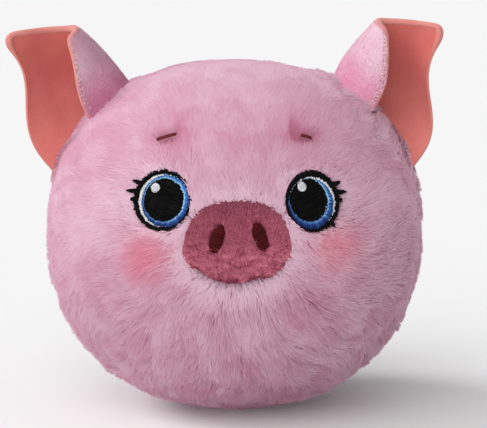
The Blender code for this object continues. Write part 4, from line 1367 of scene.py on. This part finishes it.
def snout_pile(material):
    """Short strands over the pad. They lie away from its middle, and lower down they curl
    to the sides in small wavy tufts."""
    rng = np.random.default_rng(61)
    number = np.arange(snout_strands) + 0.5
    turn = number * np.pi * (3 - math.sqrt(5))
    spread = np.sqrt(number / snout_strands)
    edge = np.stack(snout_outline(turn, -snout_pile_inset), -1)
    roots = edge * spread[:, None] + rng.normal(scale=0.05 * MM, size=(snout_strands, 2))
    for side in (1, -1):
        roots = roots[np.linalg.norm(nostril_flat(roots, side), axis=-1) > 0.92]
    solid = np.concatenate([roots, np.zeros((len(roots), 1))], 1)
    low = smooth_step(-roots[:, 1], -2.5 * MM, 6.0 * MM)
    angle = roots[:, 0] / snout_half[0] * (0.55 + 1.35 * low)
    angle += (0.20 + 0.55 * low) * waves(solid, 4.2 * MM, 62)
    angle += 0.45 * low * waves(solid, 1.7 * MM, 63) + 0.14 * rng.normal(size=len(roots))
    flow = np.stack([np.sin(angle), np.cos(angle)], -1)
    length = snout_pile_length * (1 + 0.35 * low) * rng.uniform(0.75, 1.2, len(roots))
    path = roots[:, None] + flow[:, None] * (length[:, None] * strand_rows)[..., None]
    for _ in range(3):
        edge = np.stack(snout_outline(np.arctan2(path[..., 1], path[..., 0]), 0.35 * MM), -1)
        beyond = np.linalg.norm(path, axis=-1) / np.linalg.norm(edge, axis=-1)
        path = path / np.maximum(beyond, 1.0)[..., None]
    for side in (1, -1):
        over = np.linalg.norm(nostril_flat(path[:, 1:], side), axis=-1).min(-1) < 1.0
        path[over] = path[over][:, :1] + (path[over] - path[over][:, :1]) * 0.3
    tuft = waves(solid * np.array([0.5, 1.3, 1.0]), 1.2 * MM, 64)
    stand = snout_pile_stand + (0.04 + 0.26 * low) * MM * tuft
    stand += 0.12 * MM * rng.normal(size=len(roots))
    lift = stand[:, None] * (1 - (1 - strand_rows) ** 2) - snout_pile_stand
    rows = snout_place(path, snout_height(path, 0.0) + lift)
    along = unit(rows[:, 3] - rows[:, 0])
    roll = rng.uniform(-0.45, 0.45, len(rows))[:, None]
    side = unit(np.cross(along, np.broadcast_to(snout_out, along.shape)))
    side = side * np.cos(roll) + np.cross(along, side) * np.sin(roll)
    widths = (rng.uniform(0.8, 1.2, len(rows)) * snout_strand_width)[:, None]
    widths = widths * np.array([0.8, 1.0, 0.8, 0.0])
    # Painted light and shade: taller tufts are paler, the top of the pad is darker where the face's
    # pile hangs over it, and low down the strands turn to the paler low colours where the light
    # falls.
    tone = (0.15 + 0.06 * low) * rng.normal(size=len(rows)) + (0.03 + 0.22 * low) * tuft
    high = smooth_step(roots[:, 1], 4 * MM, 10 * MM)
    tones = np.clip(0.12 + 0.80 * strand_rows + (tone - 0.14 * high)[:, None], 0, 1)
    blush_and_painted_light = np.clip(0.45 + 0.5 * low - 0.45 * high + 0.10 * waves(solid, 5 * MM, 65), 0, 1)
    out = np.broadcast_to(snout_out, along.shape)
    return strand_piece("snout_pile", rows, np.repeat(side[:, None], 4, 1), widths, tones,
                        blush_and_painted_light, material, out, softness=snout_pile_softness)


def nostril(word, side, material):
    """One leaning oval of stitches that cross it from edge to edge over a domed padding."""
    rng = np.random.default_rng(66 + side)
    along = np.arange(-nostril_half[1] + 0.12 * MM, nostril_half[1] - 0.1 * MM, 0.22 * MM)
    half = nostril_half[0] * (1 - np.abs(along / nostril_half[1]) ** 2.8) ** 0.5
    half = half + rng.normal(scale=0.07 * MM, size=len(along))
    slant = 0.22 * half
    turn = nostril_leans[side]
    x_axis = np.array([math.cos(turn), math.sin(turn)])
    y_axis = np.array([-math.sin(turn), math.cos(turn)])
    middle = nostril_middles[side]
    ends = []
    for sign in (-1, 1):
        flat = middle + (sign * half)[:, None] * x_axis + (along + sign * slant)[:, None] * y_axis
        ends.append(snout_place(flat, snout_height(flat, 0.0) - 0.25 * MM))
    arch = 0.25 * MM * np.sqrt(np.maximum(1 - (along / nostril_half[1]) ** 2, 0))
    return stitches(f"{word}_nostril_satin", ends[0], ends[1], arch[:, None, None], snout_out,
                    rng.uniform(0, 1, len(along)), material, width=0.34 * MM)


pad = snout_pad(ground)
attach(pad, "body")
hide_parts("snout_pad")
nap = snout_pile(pile_paint("rose_short_pile", snout_colours, snout_lit_low_colours))
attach(nap, "body")
red_thread = thread_paint("dark_red_thread", *[nostril_colours] * 3, roughness=0.6, gloss=0.08)
for word, side in (("left", 1), ("right", -1)):
    satin = nostril(word, side, red_thread)
    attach(satin, "body")
    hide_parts(f"{word}_nostril_stitching")


# The eyes: satin stitch on a stiff disc that is let into the pile. Black pupil, blue ring and
# white crescent inside a black outline with two thick lashes and a short one.

lash_angles = np.radians([36.0, 18.0, 2.0])
lash_lengths = np.array([1.7, 2.1, 0.7]) * MM
lash_width = 1.1 * MM
lash_droop = 0.28
black_colours = ("050505", "131211")
white_colours = ("AEB0B4", "E2E2E2")
# Sizes in mm. An oval is its middle, out and up, and its half sizes. The glint is placed from
# the pupil's middle, and the left eye has one more short lash low down.
eye_shapes = {
    "right": {"side": -1, "half": (7.45, 7.65), "shift": (0.0, 0.4),
              "pupil": (-0.50, 0.05, 5.30, 5.45), "iris": (-1.05, -0.30, 6.35, 6.60),
              "white": (-0.25, -0.10, 6.40, 6.65), "glint": (-2.3, 3.0), "tick": False},
    "left": {"side": 1, "half": (7.05, 7.7), "shift": (0.4, 0.1),
             "pupil": (-1.25, 0.30, 5.10, 5.55), "iris": (-0.60, -0.70, 6.00, 6.45),
             "white": (-0.15, -0.30, 6.10, 6.35), "glint": (-1.5, 3.3), "tick": True},
}
glint_half_mm = 1.15


def oval_reach(shape, start, angle):
    """Distance from a start along an angle to the edge of an oval of middle x, y and half
    sizes, found by solving the oval's equation for the ray."""
    x, y, half_x, half_y = (part * MM for part in shape)
    aim_x, aim_y = np.cos(angle) / half_x, np.sin(angle) / half_y
    from_x, from_y = (start[0] - x) / half_x, (start[1] - y) / half_y
    square = aim_x ** 2 + aim_y ** 2
    along = aim_x * from_x + aim_y * from_y
    inside = np.maximum(along ** 2 - square * (from_x ** 2 + from_y ** 2 - 1), 0)
    return (-along + np.sqrt(inside)) / square


def ring_stitches(name, place, side, start, inner, outer, tones, base, material, count, seed,
                  ragged=0.15 * MM):
    """Radial satin stitch between two reaches from a start in the disc, with ends that run
    over a little at random. Stitches shorter than a thread is wide are left out."""
    rng = np.random.default_rng(seed)
    angle = np.linspace(0, 2 * np.pi, count, endpoint=False)
    low = inner(angle) + rng.normal(scale=ragged, size=count)
    high = outer(angle) + rng.normal(scale=ragged * 0.9, size=count)
    keep = high - low > 0.16 * MM
    middle, across, up, outward = place
    aim = np.cos(angle)[:, None] * across * side + np.sin(angle)[:, None] * up
    origin = middle + start[0] * side * across + start[1] * up
    tone = np.clip(tones(angle) + rng.normal(scale=0.24, size=count), 0, 1)
    starts = origin + aim * low[:, None]
    ends = origin + aim * high[:, None]
    return stitches(name, starts[keep], ends[keep], base, outward, tone[keep], material)


def disc(name, place, shape, side, depth, top, material, segments=64):
    """A stiff oval disc under the stitches, with walls and a flat back."""
    x, y, half_x, half_y = (part * MM for part in shape)
    middle, across, up, outward = place
    angle = np.linspace(0, 2 * np.pi, segments, endpoint=False)
    flat = (np.cos(angle)[:, None] * half_x + x) * side * across + (np.sin(angle)[:, None] * half_y
                                                                   + y) * up
    points = np.concatenate([middle + flat + outward * top, middle + flat + outward * (top - depth),
                             [middle + x * side * across + y * up + outward * top],
                             [middle + x * side * across + y * up + outward * (top - depth)]])
    here = np.arange(segments)
    after = (here + 1) % segments
    upper = np.stack([here, after, np.full(segments, 2 * segments)], -1)
    lower = np.stack([after, here, np.full(segments, segments)], -1) + segments
    walls = np.stack([here, here + segments, after + segments, after], -1)
    if side < 0:
        upper, lower, walls = upper[:, ::-1], lower[:, ::-1], walls[:, ::-1]
    corners = np.concatenate([upper.ravel(), lower.ravel(), walls.ravel()])
    sizes = np.repeat([3, 4], [2 * segments, segments])
    return mesh_piece(name, points, corners, sizes, material, smooth=False)


def fill_stitches(name, place, shape, side, base, pitch, segment, material, seed, slant=0.0):
    """Fill stitch: parallel rows across an oval, broken into lengths that start at random
    places, so that the rows interlock like bricks."""
    rng = np.random.default_rng(seed)
    x, y, half_x, half_y = (part * MM for part in shape)
    row = np.arange(-half_y + pitch * 0.4, half_y - pitch * 0.2, pitch)
    chord = half_x * np.sqrt(np.maximum(1 - (row / half_y) ** 2, 0))
    breaks = np.arange(-half_x - segment, half_x + segment, segment)
    shift = rng.uniform(0, segment, len(row))
    low = np.maximum(breaks[None, :] + shift[:, None], -chord[:, None])
    high = np.minimum(breaks[None, :] + segment + shift[:, None], chord[:, None])
    keep = high - low > 0.25 * MM
    rise = np.broadcast_to(row[:, None], low.shape)[keep]
    low, high = low[keep], high[keep]
    middle, across, up, outward = place
    turn = np.array([math.cos(slant), math.sin(slant)])

    def spot(along):
        flat_x = along * turn[0] - rise * turn[1] + x
        flat_y = along * turn[1] + rise * turn[0] + y
        return middle + flat_x[:, None] * side * across + flat_y[:, None] * up

    return stitches(name, spot(low - 0.05 * MM), spot(high + 0.05 * MM), base, outward,
                    rng.uniform(0, 1, len(low)), material, width=pitch * 1.12)


def lashes(name, place, side, shape, material, seed):
    """Each lash is a bundle of stitches from inside the outline to a blunt tip."""
    rng = np.random.default_rng(seed)
    middle, across, up, outward = place
    angles = np.append(lash_angles, np.radians(-50.0)) if shape["tick"] else lash_angles
    lengths = np.append(lash_lengths, 0.9 * MM) if shape["tick"] else lash_lengths
    starts, ends = [], []
    for angle, length in zip(angles, lengths):
        reach = oval_reach((0, 0, *shape["half"]), (0, 0), angle)
        aim = math.cos(angle) * across * side + math.sin(angle) * up
        lean = angle - lash_droop
        ahead = math.cos(lean) * across * side + math.sin(lean) * up
        beside = -math.sin(lean) * across * side + math.cos(lean) * up
        offset = np.linspace(-0.5, 0.5, 7) * lash_width
        tip = length * (1 - 1.6 * (offset / lash_width) ** 2) + rng.normal(scale=0.15 * MM, size=7)
        base = middle + aim * (reach - 0.5 * MM)
        starts.append(base - ahead * 0.4 * MM + offset[:, None] * beside)
        ends.append(base + ahead * (0.5 * MM + tip)[:, None] + (offset * 0.55)[:, None] * beside)
    starts, ends = np.concatenate(starts), np.concatenate(ends)
    ends = ends + outward * 0.5 * MM
    return stitches(name, starts, ends, 0.15 * MM, outward, rng.uniform(0, 1, len(starts)),
                    material, width=0.30 * MM)


black_thread = thread_paint("black_thread", *[black_colours] * 3, roughness=0.7, gloss=0.04)
white_thread = thread_paint("white_thread", *[white_colours] * 3)
blue_thread = thread_paint("blue_thread", ("4A74B4", "A8DCF6"), ("1C2F6A", "3C78BA"),
                           ("161F4E", "2A5C9E"), roughness=0.55, gloss=0.12)
for word, shape in eye_shapes.items():
    side = shape["side"]
    middle, across, up, outward = eye_places[word]
    out_shift, up_shift = (part * MM for part in shape["shift"])
    place = (middle + out_shift * side * across + up_shift * up, across, up, outward)
    whole = (0.0, 0.0, *shape["half"])
    pupil_start = (shape["pupil"][0] * MM, shape["pupil"][1] * MM)
    seed = 70 + 10 * side

    def reach_to(oval, more=0.0):
        return lambda angle: oval_reach(oval, pupil_start, angle) + more

    def inner_white(angle):
        return reach_to(shape["iris"], -0.15 * MM)(angle)

    def outer_white(angle):
        return np.minimum(reach_to(shape["white"])(angle), reach_to(whole, -0.3 * MM)(angle))

    def outer_iris(angle):
        return np.minimum(reach_to(shape["iris"])(angle), reach_to(whole, -0.25 * MM)(angle))

    def inner_outline(angle):
        rings = np.maximum(outer_white(angle), outer_iris(angle))
        return np.maximum(rings, reach_to(shape["pupil"])(angle)) - 0.12 * MM

    def light(angle):
        if side < 0:
            return 0.5 + 0.5 * np.sin(angle) - 0.15 * np.cos(angle)
        return 0.35 + 0.45 * np.sin(angle) + 0.15 * np.cos(angle)

    def even(angle):
        return np.full(angle.shape, 0.5)

    backing = disc(f"{word}_eye_backing", place, (0.0, 0.0, whole[2] - 0.15, whole[3] - 0.15),
                   side, 0.75 * MM, -0.30 * MM, black_thread)
    outline = ring_stitches(f"{word}_eye_outline_satin", place, side, pupil_start, inner_outline,
                            reach_to(whole), even, 0.02 * MM, black_thread, 190, seed)
    white = ring_stitches(f"{word}_eye_white_satin", place, side, pupil_start, inner_white,
                          outer_white, even, -0.02 * MM, white_thread, 170, seed + 1)
    iris = ring_stitches(f"{word}_eye_iris_satin", place, side, pupil_start,
                         reach_to(shape["pupil"], -0.12 * MM), outer_iris, light, 0.04 * MM,
                         blue_thread, 150, seed + 2)
    pupil = fill_stitches(f"{word}_eye_pupil_satin", place, shape["pupil"], side, 0.0,
                          0.30 * MM, 2.6 * MM, black_thread, seed + 3, slant=0.35)
    glint_oval = (shape["pupil"][0] + side * shape["glint"][0],
                  shape["pupil"][1] + shape["glint"][1], glint_half_mm, glint_half_mm)
    glint = fill_stitches(f"{word}_eye_glint_satin", place, glint_oval, side, 0.22 * MM,
                          0.28 * MM, 4.0 * MM, white_thread, seed + 4, slant=0.5)
    tufts = lashes(f"{word}_lashes", place, side, shape, black_thread, seed + 5)
    for piece, slot in ((backing, "black_thread"), (outline, "black_thread"),
                        (white, "white_thread"), (iris, "blue_thread"), (pupil, "black_thread"),
                        (glint, "white_thread"), (tufts, "black_thread")):
        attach(piece, "body")
    for piece, node in ((outline, "outline"), (white, "white"), (iris, "iris_ring"),
                        (pupil, "pupil"), (glint, "glint")):
        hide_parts(f"{word}_eye_{node}")


# The brows: a short bar of red-brown thread at the bottom of a dimple above each eye, which
# its tight stitches pull into the pile.

# Each brow's shift along itself and its length.
brow_lengths = {"left": (0.2 * MM, 2.8 * MM), "right": (0.0, 5.4 * MM)}
brow_lean = math.radians(20.0)
brow_rise = 0.35 * MM
brow_thread_width = 0.30 * MM
brown_thread = thread_paint("brown_thread", *[("3E1018", "74282A")] * 3, gloss=0.08)
for word, side in (("left", 1), ("right", -1)):
    middle, across, up, outward = brow_places[word]
    rng = np.random.default_rng(90 + side)
    aim = math.cos(brow_lean) * across - side * math.sin(brow_lean) * up
    beside = np.cross(outward, aim)
    offset = np.linspace(-0.33, 0.33, 4) * MM
    shift, length = brow_lengths[word]
    middle = middle + aim * side * shift
    starts = middle - aim * length / 2 + offset[:, None] * beside
    ends = middle + aim * length / 2 + (offset * 0.8)[:, None] * beside
    brow = stitches(f"{word}_brow_satin", starts, ends, brow_rise, outward,
                    rng.uniform(0, 1, 4), brown_thread, width=brow_thread_width)
    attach(brow, "body")
    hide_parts(f"{word}_brow_stitch")
